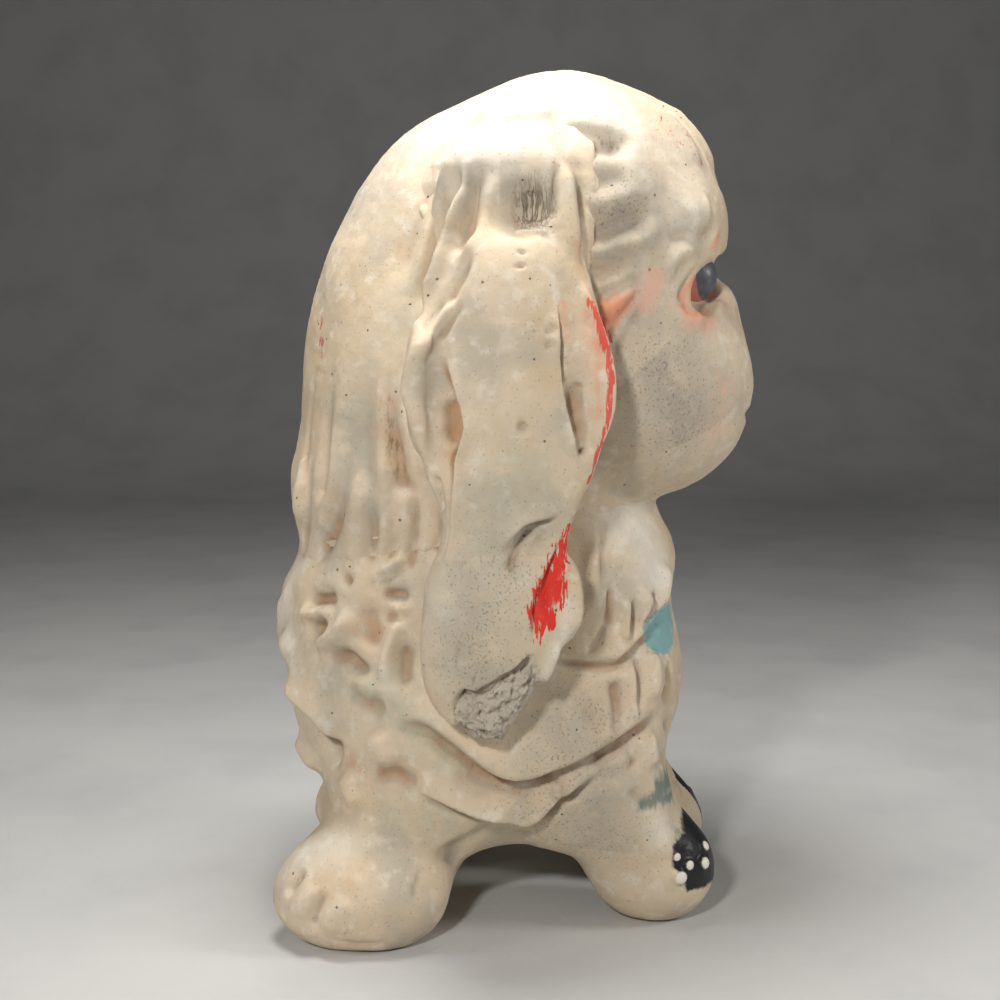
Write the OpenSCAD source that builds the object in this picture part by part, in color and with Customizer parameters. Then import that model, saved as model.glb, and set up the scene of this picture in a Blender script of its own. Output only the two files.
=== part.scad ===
// Chalkware spaniel: a hollow plaster figure, cast in sections that are luted together.
// Millimetres. The dog faces -Y, +Z is up and the floor is z = 0.

/* [Torso] */
// Width of the barrel of the body
torso_w = 140; // [130:1:156]
// Depth of the barrel of the body, chest to rump
torso_d = 154; // [146:1:166]
// How far the barrel's middle lies behind the middle of the neck
torso_back = 14; // [10:1:18]
// Height of the belly above the floor
belly_h = 39; // [35:1:46]
// Height of the neck joint above the floor, at the middle of the neck
shoulder_h = 156; // [148:1:168]
// Wall of the hollow castings
wall = 10; // [8:0.5:13]
// Width of the chest
chest_w = 100; // [92:1:108]
// How far the chest reaches in front of the barrel's middle
chest_front = 82; // [80:1:85]
// Depth of the step at the lower edge of a tier of the coat
tier_depth = 5; // [3:0.5:6]

/* [Head] */
// Width of the skull
skull_w = 140; // [132:1:152]
// Depth of the skull, brow to nape
skull_d = 132; // [126:1:142]
// Height of the skull
skull_h = 157; // [148:1:172]
// Height of the skull's centre above the neck joint
head_rise = 96; // [90:1:104]
// How far the skull's centre lies in front of the middle of the neck
head_forward = 19; // [13:1:24]
// Width of the mane behind the ears
mane_w = 132; // [122:1:142]
// How far the mane reaches behind the skull's centre
mane_back = 103; // [97:1:110]
// How far the muzzle reaches in front of the skull's centre
muzzle_front = 75; // [70:1:82]
// Width of one jowl of the muzzle
jowl_w = 80; // [70:1:86]
// Height of one jowl of the muzzle
jowl_h = 89; // [80:1:94]
// Diameter of the nose
nose_d = 20; // [16:1:24]

/* [Eyes] */
// Diameter of an eyeball
eye_d = 30; // [24:1:34]
// How far an eyeball stands out of its hollow
eye_proud = 4; // [2.5:0.5:6]
// Diameter of the domed pupil
pupil_d = 16; // [10:0.5:19]
// Height of the pupil's dome above the eyeball
pupil_rise = 2; // [1.5:0.5:4]

/* [Ears] */
// Length of an ear, root to tip
ear_len = 220; // [206:1:224]
// Width of an ear at its widest
ear_w = 71; // [62:1:76]
// Thickness of an ear at its thickest
ear_t = 30; // [26:1:34]
// Clear space between a hanging ear and the body
ear_clear = 3; // [2:0.5:8]
// Length lost from the tip of the right ear, where it is broken off
chip_l = 2; // [1:1:12]

/* [Legs] */
// Diameter of a leg where it joins the body
leg_d = 62; // [56:1:66]
// Width of a front paw
front_paw_w = 43; // [39:1:48]
// Length of a front paw
front_paw_l = 49; // [45:1:55]
// Width of a hind paw
hind_paw_w = 62; // [56:1:66]
// Length of a hind paw
hind_paw_l = 70; // [62:1:76]
// Height of the paws
paw_h = 42; // [38:1:46]
// Depth of the flat sole cut into each front paw
front_sole_cut = 2; // [1.5:0.5:4]
// Depth of the flat sole cut into each hind paw
hind_sole_cut = 5; // [3:0.5:7]
// Distance between the middles of the front paws
front_track = 54; // [52:1:60]
// Distance between the middles of the hind paws
hind_track = 88; // [84:1:94]
// Distance of the front paws' middles in front of the middle of the neck
front_reach = 57; // [53:1:60]
// Distance of the hind paws' middles behind the middle of the neck
hind_reach = 56; // [53:1:60]
// How far the front paws are turned out
front_turn = 14; // [4:1:24]
// How far the hind paws are turned out
hind_turn = 98; // [86:1:108]
// Diameter of a toe
toe_d = 13; // [11:0.5:15]

/* [Joints] */
// Forward rise of the neck joint
neck_tilt = 10; // [5:1:14]
// Outside diameter of the neck spigot
neck_d = 80; // [66:1:88]
// Length of the neck spigot
neck_l = 12; // [9:0.5:16]
// Diameter of the key that holds an ear
key_d = 16; // [12:0.5:20]
// Depth of an ear's key in the head
key_l = 7; // [5:0.5:8]
// Diameter of the pour hole in the belly
pour_d = 40; // [30:1:46]
// Gap filled by the luting plaster
lute_gap = 0.3; // [0.2:0.05:0.5]

/* [Hidden] */

plaster = "#cdbf9f";
ear_plaster = "#d3c3a2";
eye_paint = "#6a5450";
plug_plaster = "#b8ab90";

skin_steps = 60;
core_steps = 28;
core_rows = 16;
ball_fn = 10;
rim_fn = 8;
far = 700;

// Outline of the torso: share of the way from belly to neck joint, then share of its half width.
torso_outline = [
    [0, 0.56], [0.035, 0.72], [0.095, 0.81], [0.18, 0.89], [0.32, 0.96], [0.52, 1],
    [0.71, 0.99], [0.86, 0.975], [1, 0.93], [1.2, 0.86],
];
torso_rings = 27;
// How much closer the rings lie near the belly, and the height of the body's rounded foot.
ring_crowding = 1.3;
foot_h = 30;
torso_power = 2.3;
torso_blend = 12;

// Swellings of the chest: how far ahead of the barrel's middle, height and half sizes.
chest_depth = 38;
chest_blobs = [
    [chest_front - chest_depth, belly_h + 51, [chest_w / 2, chest_depth, 48]],
    [chest_front - chest_depth, shoulder_h - 16, [0.48 * chest_w, 0.9 * chest_depth, 26]],
];

// Lower edge of the coat: turn from straight ahead, then share of the way from belly to neck joint.
tier_edge = [[0, 0.53], [35, 0.45], [60, 0.34], [90, 0.31], [125, 0.28], [160, 0.36], [180, 0.45]];
tier_h = 15;
// Height over which a tier's edge turns in, and the groove below it: drop, and share of the step's depth.
tier_lip = 6;
tier_groove = 5;
groove_share = 0.3;
// The tiers fade out between these sines of the turn, towards the middle of the chest and of the rump.
tier_fade = [0.19, 0.81];

// Swelling over each shoulder: turn from straight ahead, height, the spread of each, and rise.
shoulder_turn = 56;
shoulder_z = belly_h + 36;
shoulder_spread = [20, 17];
shoulder_rise = 6;

// Blobs of the head, seen from the skull's centre: middle and half sizes.
head_z = shoulder_h + head_rise;
head_blobs = [
    [[0, 0, 0], [skull_w, skull_d, skull_h] / 2],
    [[0, 0.38 * mane_back, -0.54 * head_rise], [mane_w / 2, 0.62 * mane_back, 1.115 * head_rise]],
    [[0, 0.515 * mane_back, -0.9 * head_rise], [0.47 * mane_w, 0.534 * mane_back, 0.458 * head_rise]],
    [[0, 10, -0.7 * head_rise], [0.436 * skull_w, 0.371 * skull_d, 0.79 * head_rise]],
    [[0, -0.18 * skull_d, 0.178 * skull_h], [0.265 * skull_w, 0.25 * skull_d, 0.248 * skull_h]],
    for (side = [-1, 1])
        [
            [0.225 * side * jowl_w, -0.25 * muzzle_front, -0.45 * jowl_h],
            [jowl_w / 2, 0.75 * muzzle_front, jowl_h / 2],
        ],
];
head_rings = 32;
head_blend = 12;

// Where the face's parts lie, seen from the skull's centre: turn from straight ahead and lift.
eye_turn = 22;
eye_lift = -1.5;
brow_turn = 20;
brow_lift = 19;
cheek_turn = 62;
cheek_lift = -20;
nose_drop = 18;
ear_turn = 105;
ear_lift = 13;

// Swellings and hollows of the head: direction, height and spread.
head_swells = [
    for (side = [-1, 1]) [aim(side * brow_turn, brow_lift), 4, 0.2],
    for (side = [-1, 1]) [aim(side * cheek_turn, cheek_lift), 4, 0.35],
    for (side = [-1, 1]) [aim(side * eye_turn, eye_lift), -9, 0.2],
    for (side = [-1, 1]) [aim(side * 76, 43), -4, 0.14],
    [aim(0, 2), -5, 0.14],
];

// Outline of an ear: share of its length, shift backwards, shares of its width and thickness, and
// share of the way out from the middle plane.
ear_top_z = head_z + 0.34 * skull_h;
ear_root_y = 17 - head_forward;
ear_outline = [
    [0, -3.5, 0.3, 0.5, 0.66], [0.05, -2, 0.58, 0.8, 0.7], [0.1, -1, 0.66, 0.75, 0.74],
    [0.14, -1, 0.68, 0.56, 0.76], [0.18, -0.5, 0.7, 0.62, 0.8], [0.215, -0.5, 0.73, 1, 0.87],
    [0.26, 0, 0.78, 1.12, 0.93], [0.31, 0, 0.88, 1.1, 0.96], [0.36, 0.5, 0.97, 1.05, 0.98],
    [0.41, 0.3, 1, 1, 0.99], [0.46, 0.3, 0.985, 1, 0.99], [0.51, 0.5, 0.93, 0.98, 0.99],
    [0.57, 1, 0.83, 0.94, 0.99], [0.63, 1.7, 0.68, 0.88, 0.99], [0.68, 2, 0.62, 0.83, 1],
    [0.73, 3, 0.71, 0.88, 1], [0.78, 3.5, 0.76, 0.95, 1], [0.83, 5, 0.75, 1, 1],
    [0.88, 8, 0.66, 0.93, 1], [0.93, 10, 0.52, 0.76, 1], [0.97, 10, 0.34, 0.52, 1], [1, 8, 0.13, 0.25, 1],
];
ear_points = 32;
ear_cap = 0.5;

// Hollows in an ear's outer face: share of its length, shift backwards, depth, spread across and along.
ear_hollows = [[0.47, 21, 6, 6, 17], [0.42, -30, 4.5, 7, 24], [0.76, -14, 6, 4.5, 15]];

// Raised rims of an ear: share of its length and shift backwards of each knot, and their radius.
ear_rims = [
    [[[0.31, 26], [0.355, 30.5], [0.41, 32.5], [0.47, 31.5], [0.53, 28], [0.58, 24]], 4],
    [[[0.7, -17], [0.77, -21], [0.82, -20.5], [0.88, -14]], 4],
];

// Strands of hair swept back from the brow: start and end, each a turn and a lift, then two radii.
brow_strands = [
    [[55, 34], [80, 27], 6, 7], [[53, 20], [80, 10], 7, 7], [[62, 5], [78, -3], 5, 6],
];
// Shares of its radii that a strand's two ends are sunk into the head.
strand_sunk = [0.6, 0.75];

// Locks of the mane: turn of the outermost one, and for each end its lift, depth and radius.
mane_locks = 9;
mane_lock_turn = 42;
mane_lock_ends = [[-20, 9, 10], [-41, 3, 5.5]];
mane_lock_stagger = 2;

// Locks on the chest: turn of the outermost one, and for each end its distance below the neck joint,
// depth and radius.
chest_locks = 7;
chest_lock_turn = 57;
chest_lock_ends = [[8, 6, 8], [48, 3.5, 5]];

// A leg's upper end: shares of the body's width and depth, and share of its diameter above the belly.
front_leg_top = [0.22, -0.32];
hind_leg_top = [0.243, 0.11];
leg_top_rise = 0.36;

// Ankles: radius as a share of the paw's width, then how far one lies inwards, towards the body's middle,
// and how far its underside lies above the floor.
front_ankle = [0.47, 0, 6, 5];
hind_ankle = [0.4, 2, 6, 1];

// Toes: pitch as a share of the paw's width, and depth inside the paw as a share of a toe's diameter.
toe_pitch = 0.22;
front_toe_sunk = 0.58;
hind_toe_sunk = 0.66;

// Bar of coat on each flank: radius as a share of a leg's diameter, how far it hangs below the belly, and
// for each end its share of the body's width and its place behind the barrel's middle.
flank_share = 0.27;
flank_drop = 7.5;
flank_ends = [[0.243, -30], [0.27, 8]];

// How far the nose's front lies inside the muzzle's.
nose_inset = 3;

// Plaster left round a key and behind an eye.
boss_wall = 0.7 * wall;

// The pour hole: narrowing of its diameter per millimetre of height, and how far its plug lies inside.
pour_draft = 0.3;
plug_inset = 0.5;

// How far a cut runs past the face that it opens, and spare depth behind the neck spigot.
over = 5;
socket_spare = 2;

// The ear: share of its thickness inside its middle, share of it left at its edges, spread of its crown,
// squareness of its section, how far its rims lie outside its middle and its key runs into it.
ear_inside = 0.43;
ear_edge = 0.66;
ear_crown = 0.55;
ear_square = 0.85;
rim_out = 7;
key_out = 6;

// Thickening behind an ear's root, for each end: share of the skull's width, shift backwards, share of
// the ear's length and radius.
ear_web_ends = [[0.46, 19, 0.13, 10], [0.5, 23, 0.52, 7]];

function lerp(a, b, t) = a + (b - a) * t;
function ease(t) = let (s = min(1, max(0, t))) s * s * (3 - 2 * s);
function swell(x, middle, width) = exp(-pow((x - middle) / width, 2));
function total(v) = v * [for (x = v) 1];
function blend(a, b, k) = max(a, b) + pow(max(k - abs(a - b), 0), 2) / (4 * k);
function blend_all(v, k, i = 1, best = undef) =
    i == len(v) ? best : blend_all(v, k, i + 1, blend(i == 1 ? v[0] : best, v[i], k));

// A unit vector: the turn is measured from straight ahead (-Y) towards +X.
function aim(turn, lift) = [sin(turn) * cos(lift), -cos(turn) * cos(lift), sin(lift)];

// Distance along a unit vector from the origin to where it leaves an ellipsoid; 0 where it misses it.
function exit_of(dir, blob) =
    let (
        d = [for (i = [0:2]) dir[i] / blob[1][i]],
        c = [for (i = [0:2]) blob[0][i] / blob[1][i]],
        inside = pow(d * c, 2) - (d * d) * (c * c - 1)
    )
    inside > 0 ? max(0, (d * c + sqrt(inside)) / (d * d)) : 0;

// A column of a table, read between its rows.
function along(table, x, column) =
    let (
        last = len(table) - 1,
        i = x >= table[last][0] ? last - 1 : max([0, for (k = [0:last - 1]) if (x >= table[k][0]) k]),
        t = (x - table[i][0]) / (table[i + 1][0] - table[i][0])
    )
    lerp(table[i][column], table[i + 1][column], min(1, max(0, t)));

// How far a swelling of the chest reaches from the torso's upright axis.
function chest_radius(turn, z, blob) =
    let (
        share = (z - blob[1]) / blob[2][2],
        size = sqrt(max(0.01, 1 - share * share))
    )
    abs(share) < 1
        ? exit_of([sin(turn), cos(turn), 0], [[0, blob[0], 0], [size * blob[2][0], size * blob[2][1], 1]])
        : 0;

// Radius of the torso round its upright axis.
function torso_radius(turn, z) =
    let (
        share = (z - belly_h) / (shoulder_h - belly_h),
        side = pow(abs(sin(turn)) / (torso_w / 2), torso_power),
        front = pow(abs(cos(turn)) / (torso_d / 2), torso_power),
        oval = pow(side + front, -1 / torso_power) * along(torso_outline, share, 1),
        edge = lerp(belly_h, shoulder_h, along(tier_edge, acos(cos(turn)), 1)),
        lip = ease((z - edge) / tier_lip + 0.5) * swell(z, edge, tier_h),
        step = tier_depth * (lip - groove_share * swell(z, edge - tier_groove, tier_groove)),
        fade = ease((abs(sin(turn)) - tier_fade[0]) / (tier_fade[1] - tier_fade[0])),
        beside = swell(acos(cos(turn)), shoulder_turn, shoulder_spread[0]),
        bulge = shoulder_rise * beside * swell(z, shoulder_z, shoulder_spread[1]),
        blobs = [for (b = chest_blobs) chest_radius(turn, z, b)]
    )
    blend_all(concat([oval], blobs), torso_blend) + fade * step + bulge;

// Radius of the head from the skull's centre.
function head_radius(dir) =
    blend_all([for (b = head_blobs) exit_of(dir, b)], head_blend)
        + total([for (s = head_swells) s[1] * exp(-pow(norm(dir - s[0]) / s[2], 2))]);

function on_head(turn, lift, rise = 0) = let (d = aim(turn, lift)) d * (head_radius(d) + rise);

// A point inside the coat, at a depth below its surface.
function in_coat(turn, z, depth) =
    let (r = torso_radius(turn, z) - depth) [r * sin(turn), torso_back - r * cos(turn), z];

// The tuft of the tail: height, depth and radius.
tail_knots = [[belly_h + 86, 6, 9], [belly_h + 66, 6, 9], [belly_h + 45, 8, 9]];
function tail_knot(k) = in_coat(180, k[0], k[1]);

// How far a turned paw reaches from its own middle, forwards or backwards.
function paw_reach(w, l, turn) = norm([l / 2 * cos(turn), w / 2 * sin(turn)]);

// The figure is moved so that its own middle, front to back, stands over the origin.
front_y = max([
    head_forward + muzzle_front,
    front_reach + paw_reach(front_paw_w, front_paw_l, front_turn),
    for (turn = [-36:6:36], i = [0:head_rings])
        head_forward - on_head(turn, lerp(-90, 90, i / head_rings))[1],
]);
back_y = max([
    hind_reach + paw_reach(hind_paw_w, hind_paw_l, hind_turn),
    for (k = tail_knots) tail_knot(k)[1] + k[2],
    for (i = [-3:3], z = [belly_h:5:shoulder_h]) torso_back - cos(180 + 6 * i) * torso_radius(180 + 6 * i, z),
]);
y_shift = (front_y - back_y) / 2;

// A closed skin over rings of points, with a middle point at each end.
module skin(rings, low, high) {
    n = len(rings[0]);
    m = len(rings);
    sides = [
        for (i = [0:m - 2], j = [0:n - 1])
            let (a = 1 + i * n + j, b = 1 + i * n + (j + 1) % n)
            each [[a, a + n, b], [b, a + n, b + n]]
    ];
    ends = [
        for (j = [0:n - 1])
            let (k = (j + 1) % n)
            each [[0, 1 + j, 1 + k], [1 + m * n, 1 + (m - 1) * n + k, 1 + (m - 1) * n + j]]
    ];
    polyhedron([low, for (ring = rings) each ring, high], concat(sides, ends), convexity = 8);
}

module torso_form(grow = 0, steps = skin_steps, rows = torso_rings) {
    top = shoulder_h + 0.6 * torso_d * tan(neck_tilt) + over;
    bottom = belly_h - grow;
    rings = [
        for (i = [0:rows])
            let (z = lerp(bottom, top, pow(i / rows, ring_crowding)))
            [
                for (j = [0:steps - 1])
                    let (turn = 360 * j / steps, lift = z < belly_h + foot_h ? grow : 0)
                    let (r = torso_radius(turn, z + lift) + grow)
                    [r * sin(turn), torso_back - r * cos(turn), z]
            ]
    ];
    skin(rings, [0, torso_back, bottom], [0, torso_back, top]);
}

module head_form(grow = 0, steps = skin_steps, rows = head_rings) {
    middle = [0, -head_forward, head_z];
    rings = [
        for (i = [1:rows - 1])
            [
                for (j = [0:steps - 1])
                    let (dir = aim(360 * j / steps, lerp(-90, 90, i / rows)))
                    middle + dir * (head_radius(dir) + grow)
            ]
    ];
    low = middle + on_head(0, -90, grow);
    high = middle + on_head(0, 90, grow);
    skin(rings, low, high);
}

// Everything above (or below) the tilted plane of the neck joint.
module neck_frame() {
    translate([0, 0, shoulder_h])
        rotate([-neck_tilt, 0, 0])
            children();
}

module above_neck(gap = 0) {
    neck_frame()
        translate([-far / 2, -far / 2, gap])
            cube(far);
}

module on_head_at(turn, lift, rise = 0) {
    translate([0, -head_forward, head_z] + on_head(turn, lift, rise))
        rotate([0, 90 - lift, turn - 90])
            children();
}

module strand(points, radii, facets = ball_fn) {
    for (i = [0:len(points) - 2])
        hull() {
            translate(points[i])
                sphere(radii[i], $fn = facets);
            translate(points[i + 1])
                sphere(radii[i + 1], $fn = facets);
        }
}

// Places a paw: its middle comes to the origin and its toes point to -Y.
module front_paw_frame(side) {
    translate([side * front_track / 2, -front_reach, 0])
        rotate([0, 0, side * front_turn])
            children();
}

module hind_paw_frame(side) {
    translate([side * hind_track / 2, hind_reach, 0])
        rotate([0, 0, side * hind_turn])
            children();
}

module paw_pad(w, l, cut) {
    half_h = (paw_h + cut) / 2;
    translate([0, 0, half_h - cut])
        scale([w / 2, l / 2, half_h])
            sphere(1, $fn = 28);
}

module toes(w, l, sunk) {
    for (i = [-1.5:1:1.5])
        let (x = i * toe_pitch * w, y = -(l / 2 - sunk * toe_d) * sqrt(1 - pow(1.6 * x / w, 2)))
        strand([[x, y, 0.95 * toe_d], [0.8 * x, y + 0.12 * l, 1.9 * toe_d]], [toe_d / 2, toe_d / 2], rim_fn);
}

// A leg from its upper end in the body to its ankle over a paw, at a place from the middle plane.
module leg(side, top, ankle, paw_w, track, reach) {
    ankle_r = ankle[0] * paw_w;
    hull() {
        translate([side * top[0] * torso_w, torso_back + top[1] * torso_d, belly_h + leg_top_rise * leg_d])
            sphere(leg_d / 2, $fn = 24);
        translate([side * (track / 2 - ankle[1]), reach - sign(reach) * ankle[2], ankle_r + ankle[3]])
            sphere(ankle_r, $fn = 20);
    }
}

module legs() {
    for (side = [-1, 1]) {
        leg(side, front_leg_top, front_ankle, front_paw_w, front_track, -front_reach);
        leg(side, hind_leg_top, hind_ankle, hind_paw_w, hind_track, hind_reach);
        front_paw_frame(side) {
            paw_pad(front_paw_w, front_paw_l, front_sole_cut);
            toes(front_paw_w, front_paw_l, front_toe_sunk);
        }
        hind_paw_frame(side) {
            paw_pad(hind_paw_w, hind_paw_l, hind_sole_cut);
            toes(hind_paw_w, hind_paw_l, hind_toe_sunk);
        }
    }
}

// The coat hangs in a soft bar between the front and the hind leg.
module flanks() {
    r = flank_share * leg_d;
    for (side = [-1, 1])
        strand(
            [for (e = flank_ends) [side * e[0] * torso_w, torso_back + e[1], belly_h - flank_drop + r]],
            [r, r]
        );
}

// Hair standing on the chest and the tuft of the tail.
module coat_locks() {
    for (i = [0:chest_locks - 1])
        let (turn = lerp(-chest_lock_turn, chest_lock_turn, i / (chest_locks - 1)))
        strand(
            [for (e = chest_lock_ends) in_coat(turn, shoulder_h - e[0], e[1])],
            [for (e = chest_lock_ends) e[2]]
        );
    strand([for (k = tail_knots) tail_knot(k)], [for (k = tail_knots) k[2]]);
}

module torso_casting() {
    color(plaster)
        translate([0, y_shift, 0])
            difference() {
                union() {
                    difference() {
                        union() {
                            torso_form();
                            coat_locks();
                        }
                        above_neck();
                    }
                    legs();
                    flanks();
                    neck_frame()
                        translate([0, 0, -wall])
                            cylinder(d = neck_d, h = wall + neck_l, $fn = 60);
                }
                difference() {
                    torso_form(-wall, core_steps, core_rows);
                    above_neck(-wall);
                }
                neck_frame()
                    translate([0, 0, -2 * wall])
                        cylinder(d = neck_d - 2 * wall, h = far, $fn = 48);
                pour_hole(lute_gap);
                translate([-far / 2, -far / 2, -far])
                    cube(far);
            }
}

// The pour hole narrows upwards to its diameter inside, and its plug is pressed in from below.
module pour_hole(gap) {
    low_d = pour_d + (wall + over) * pour_draft + 2 * gap;
    high_d = pour_d - over * pour_draft + 2 * gap;
    translate([0, torso_back, belly_h - over])
        cylinder(d1 = low_d, d2 = high_d, h = wall + 2 * over, $fn = 60);
}

module pour_hole_plug() {
    color(plug_plaster)
        translate([0, y_shift, 0])
            intersection() {
                pour_hole(0);
                translate([-far / 2, -far / 2, belly_h + plug_inset])
                    cube([far, far, wall - 2 * plug_inset]);
            }
}

// Solid plaster left inside the head, behind the eyes and behind the ears' keys.
module head_bosses() {
    for (side = [-1, 1]) {
        on_head_at(side * eye_turn, eye_lift, eye_proud - eye_d / 2)
            sphere(d = eye_d + 2 * boss_wall, $fn = 20);
        on_head_at(side * ear_turn, ear_lift, -key_l)
            sphere(d = key_d + 2 * boss_wall, $fn = 16);
    }
}

module head_hair() {
    middle = [0, -head_forward, head_z];
    for (side = [-1, 1], s = brow_strands)
        strand(
            [for (k = [0, 1]) middle + on_head(side * s[k][0], s[k][1], -strand_sunk[k] * s[2 + k])],
            [s[2], s[3]]
        );
    for (i = [0:mane_locks - 1])
        let (turn = 180 + lerp(-mane_lock_turn, mane_lock_turn, i / (mane_locks - 1)))
        strand(
            [for (e = mane_lock_ends) middle + on_head(turn, e[0] + mane_lock_stagger * (i % 2), -e[1])],
            [for (e = mane_lock_ends) e[2]]
        );
    nose_y = nose_d / 2 + nose_inset - head_forward - muzzle_front;
    strand([for (side = [-1, 1]) [side * nose_d / 5, nose_y, head_z - nose_drop]], [nose_d / 2, nose_d / 2]);
}

module head_casting() {
    color(plaster)
        translate([0, y_shift, 0])
            difference() {
                intersection() {
                    union() {
                        head_form();
                        head_hair();
                    }
                    above_neck(lute_gap);
                }
                difference() {
                    head_form(-wall, core_steps, core_rows);
                    neck_frame()
                        translate([-far / 2, -far / 2, neck_l - far])
                            cube(far);
                    head_bosses();
                }
                neck_frame()
                    translate([0, 0, -over])
                        cylinder(d = neck_d + 2 * lute_gap, h = over + neck_l + socket_spare, $fn = 60);
                for (side = [-1, 1]) {
                    eye_ball(side, lute_gap);
                    ear_key(side, lute_gap);
                }
            }
}

module eye_ball(side, gap = 0) {
    on_head_at(side * eye_turn, eye_lift, eye_proud - eye_d / 2)
        sphere(d = eye_d + 2 * gap, $fn = gap > 0 ? 32 : 64);
}

// An eyeball with its raised pupil, set into a round socket.
module eye(side) {
    ball_drop = eye_d / 2 - sqrt(pow(eye_d / 2, 2) - pow(pupil_d / 2, 2));
    dome_h = pupil_rise + ball_drop;
    dome_r = (pow(pupil_d / 2, 2) + pow(dome_h, 2)) / (2 * dome_h);
    color(eye_paint)
        translate([0, y_shift, 0]) {
            eye_ball(side);
            on_head_at(side * eye_turn, eye_lift, eye_proud + pupil_rise - dome_r)
                sphere(r = dome_r, $fn = 48);
        }
}

module right_eye() {
    eye(-1);
}

module left_eye() {
    eye(1);
}

// Distance of a hanging ear's middle from the middle plane.
hang_x = torso_w / 2 + ear_clear + ear_inside * ear_t;

// How far the hollows take the ear's outer face in at a share of its length and a shift backwards.
function ear_hollow(s, back) =
    total([for (h = ear_hollows) h[2] * swell(back, h[1], h[3]) * swell(s * ear_len, h[0] * ear_len, h[4])]);

// One ring of the ear's skin, from a row of its outline: thick in the middle and thin at the edges.
function ear_ring(side, row, end) =
    [
        for (i = [0:ear_points - 1])
            let (
                turn = -side * 360 * i / ear_points,
                u = sign(cos(turn)) * pow(abs(cos(turn)), ear_square),
                v = sign(sin(turn)) * pow(abs(sin(turn)), ear_square),
                half = row[3] * ear_t / 2 * lerp(ear_edge, 1, swell(u, 0, ear_crown)),
                back = row[1] + row[2] * ear_w / 2 * u,
                out = row[4] * hang_x + half * v - (v > 0 ? ease(2 * v) * ear_hollow(row[0], back) : 0)
            )
            [side * out, ear_root_y + back, ear_top_z - row[0] * end * ear_len]
    ];

module ear_key(side, gap = 0) {
    on_head_at(side * ear_turn, ear_lift, -key_l - gap)
        cylinder(d = key_d + 2 * gap, h = key_l + key_out, $fn = 36);
}

// Where a knot of the ear's rims lies: on the rear or front edge of its outer face.
function ear_knot(side, knot, end) =
    [
        side * (along(ear_outline, knot[0], 4) * hang_x + rim_out),
        ear_root_y + knot[1],
        ear_top_z - knot[0] * end * ear_len,
    ];

// The ear's rear is thickened where it leaves the head.
module ear_web(side) {
    points = [for (e = ear_web_ends) [side * e[0] * skull_w, ear_root_y + e[1], ear_top_z - e[2] * ear_len]];
    strand(points, [for (e = ear_web_ends) e[3]]);
}

module ear(side, lost) {
    end = 1 - lost / ear_len;
    rings = [for (row = ear_outline) ear_ring(side, row, end)];
    root = ear_outline[0];
    tip = ear_outline[len(ear_outline) - 1];
    low = [side * tip[4] * hang_x, ear_root_y + tip[1], ear_top_z - end * ear_len - ear_cap];
    high = [side * root[4] * hang_x, ear_root_y + root[1], ear_top_z + ear_cap];
    color(ear_plaster)
        translate([0, y_shift, 0]) {
            difference() {
                union() {
                    skin([for (i = [1:len(rings)]) rings[len(rings) - i]], low, high);
                    for (rim = ear_rims)
                        strand(
                            [for (knot = rim[0]) ear_knot(side, knot, end)],
                            [for (knot = rim[0]) rim[1]],
                            rim_fn
                        );
                    ear_web(side);
                }
                head_form(lute_gap);
                torso_form(ear_clear, core_steps, core_rows);
            }
            ear_key(side);
        }
}

module right_ear() {
    ear(-1, chip_l);
}

module left_ear() {
    ear(1, 0);
}

torso_casting();
head_casting();
right_ear();
left_ear();
right_eye();
left_eye();
pour_hole_plug();
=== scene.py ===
"""The look of the chalkware spaniel: each casting is modelled as clay on a grid, then tooled and painted.

Sizes are in millimetres until a piece becomes a mesh. The dog faces -Y and +Z is up.
Strokes and paint are drawn as the camera sees them, in thousandths of the picture's width, and are cast
onto the clay from the camera.
"""
import math

import bpy
import numpy as np
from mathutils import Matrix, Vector
from mathutils.bvhtree import BVHTree


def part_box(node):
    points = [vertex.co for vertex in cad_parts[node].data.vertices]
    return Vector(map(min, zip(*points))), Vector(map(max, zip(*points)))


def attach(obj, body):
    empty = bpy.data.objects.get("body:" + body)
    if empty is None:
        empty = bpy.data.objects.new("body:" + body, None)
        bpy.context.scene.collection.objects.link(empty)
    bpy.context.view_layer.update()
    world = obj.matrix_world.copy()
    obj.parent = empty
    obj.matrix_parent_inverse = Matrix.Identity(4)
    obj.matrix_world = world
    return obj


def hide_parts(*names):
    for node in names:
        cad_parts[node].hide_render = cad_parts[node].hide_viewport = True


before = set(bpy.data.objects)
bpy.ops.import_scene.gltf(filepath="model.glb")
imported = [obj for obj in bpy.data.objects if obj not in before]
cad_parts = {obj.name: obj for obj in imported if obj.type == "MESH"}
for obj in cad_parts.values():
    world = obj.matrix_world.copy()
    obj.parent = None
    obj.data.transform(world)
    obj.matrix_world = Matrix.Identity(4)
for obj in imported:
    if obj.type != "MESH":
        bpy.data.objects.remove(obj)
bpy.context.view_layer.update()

MM = 0.001
SKIN_STEP = 1.1
EAR_STEP = 0.85
# The distance that stands for empty space in the clay's grid
FAR = 30.0

# The camera of the photograph
VIEW_TURN = math.radians(-2.0)
VIEW_LIFT = math.radians(7.0)
VIEW_REACH = 650.0
FRONT_REACH = 300.0
VIEW_TARGET = np.array([0.0, 5.0, 162.0])
FOCAL = 1609.0
PICTURE_PX = 1000.0
MIDDLE_PX = 0.5 * PICTURE_PX
SENSOR = 36.0

BACK = np.array(
    [
        -math.cos(VIEW_TURN) * math.cos(VIEW_LIFT),
        math.sin(VIEW_TURN) * math.cos(VIEW_LIFT),
        math.sin(VIEW_LIFT),
    ]
)
RIGHT = np.array([-math.sin(VIEW_TURN), -math.cos(VIEW_TURN), 0.0])
UP = np.cross(RIGHT, -BACK)
EYE_POINT = VIEW_TARGET + VIEW_REACH * BACK


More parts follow.
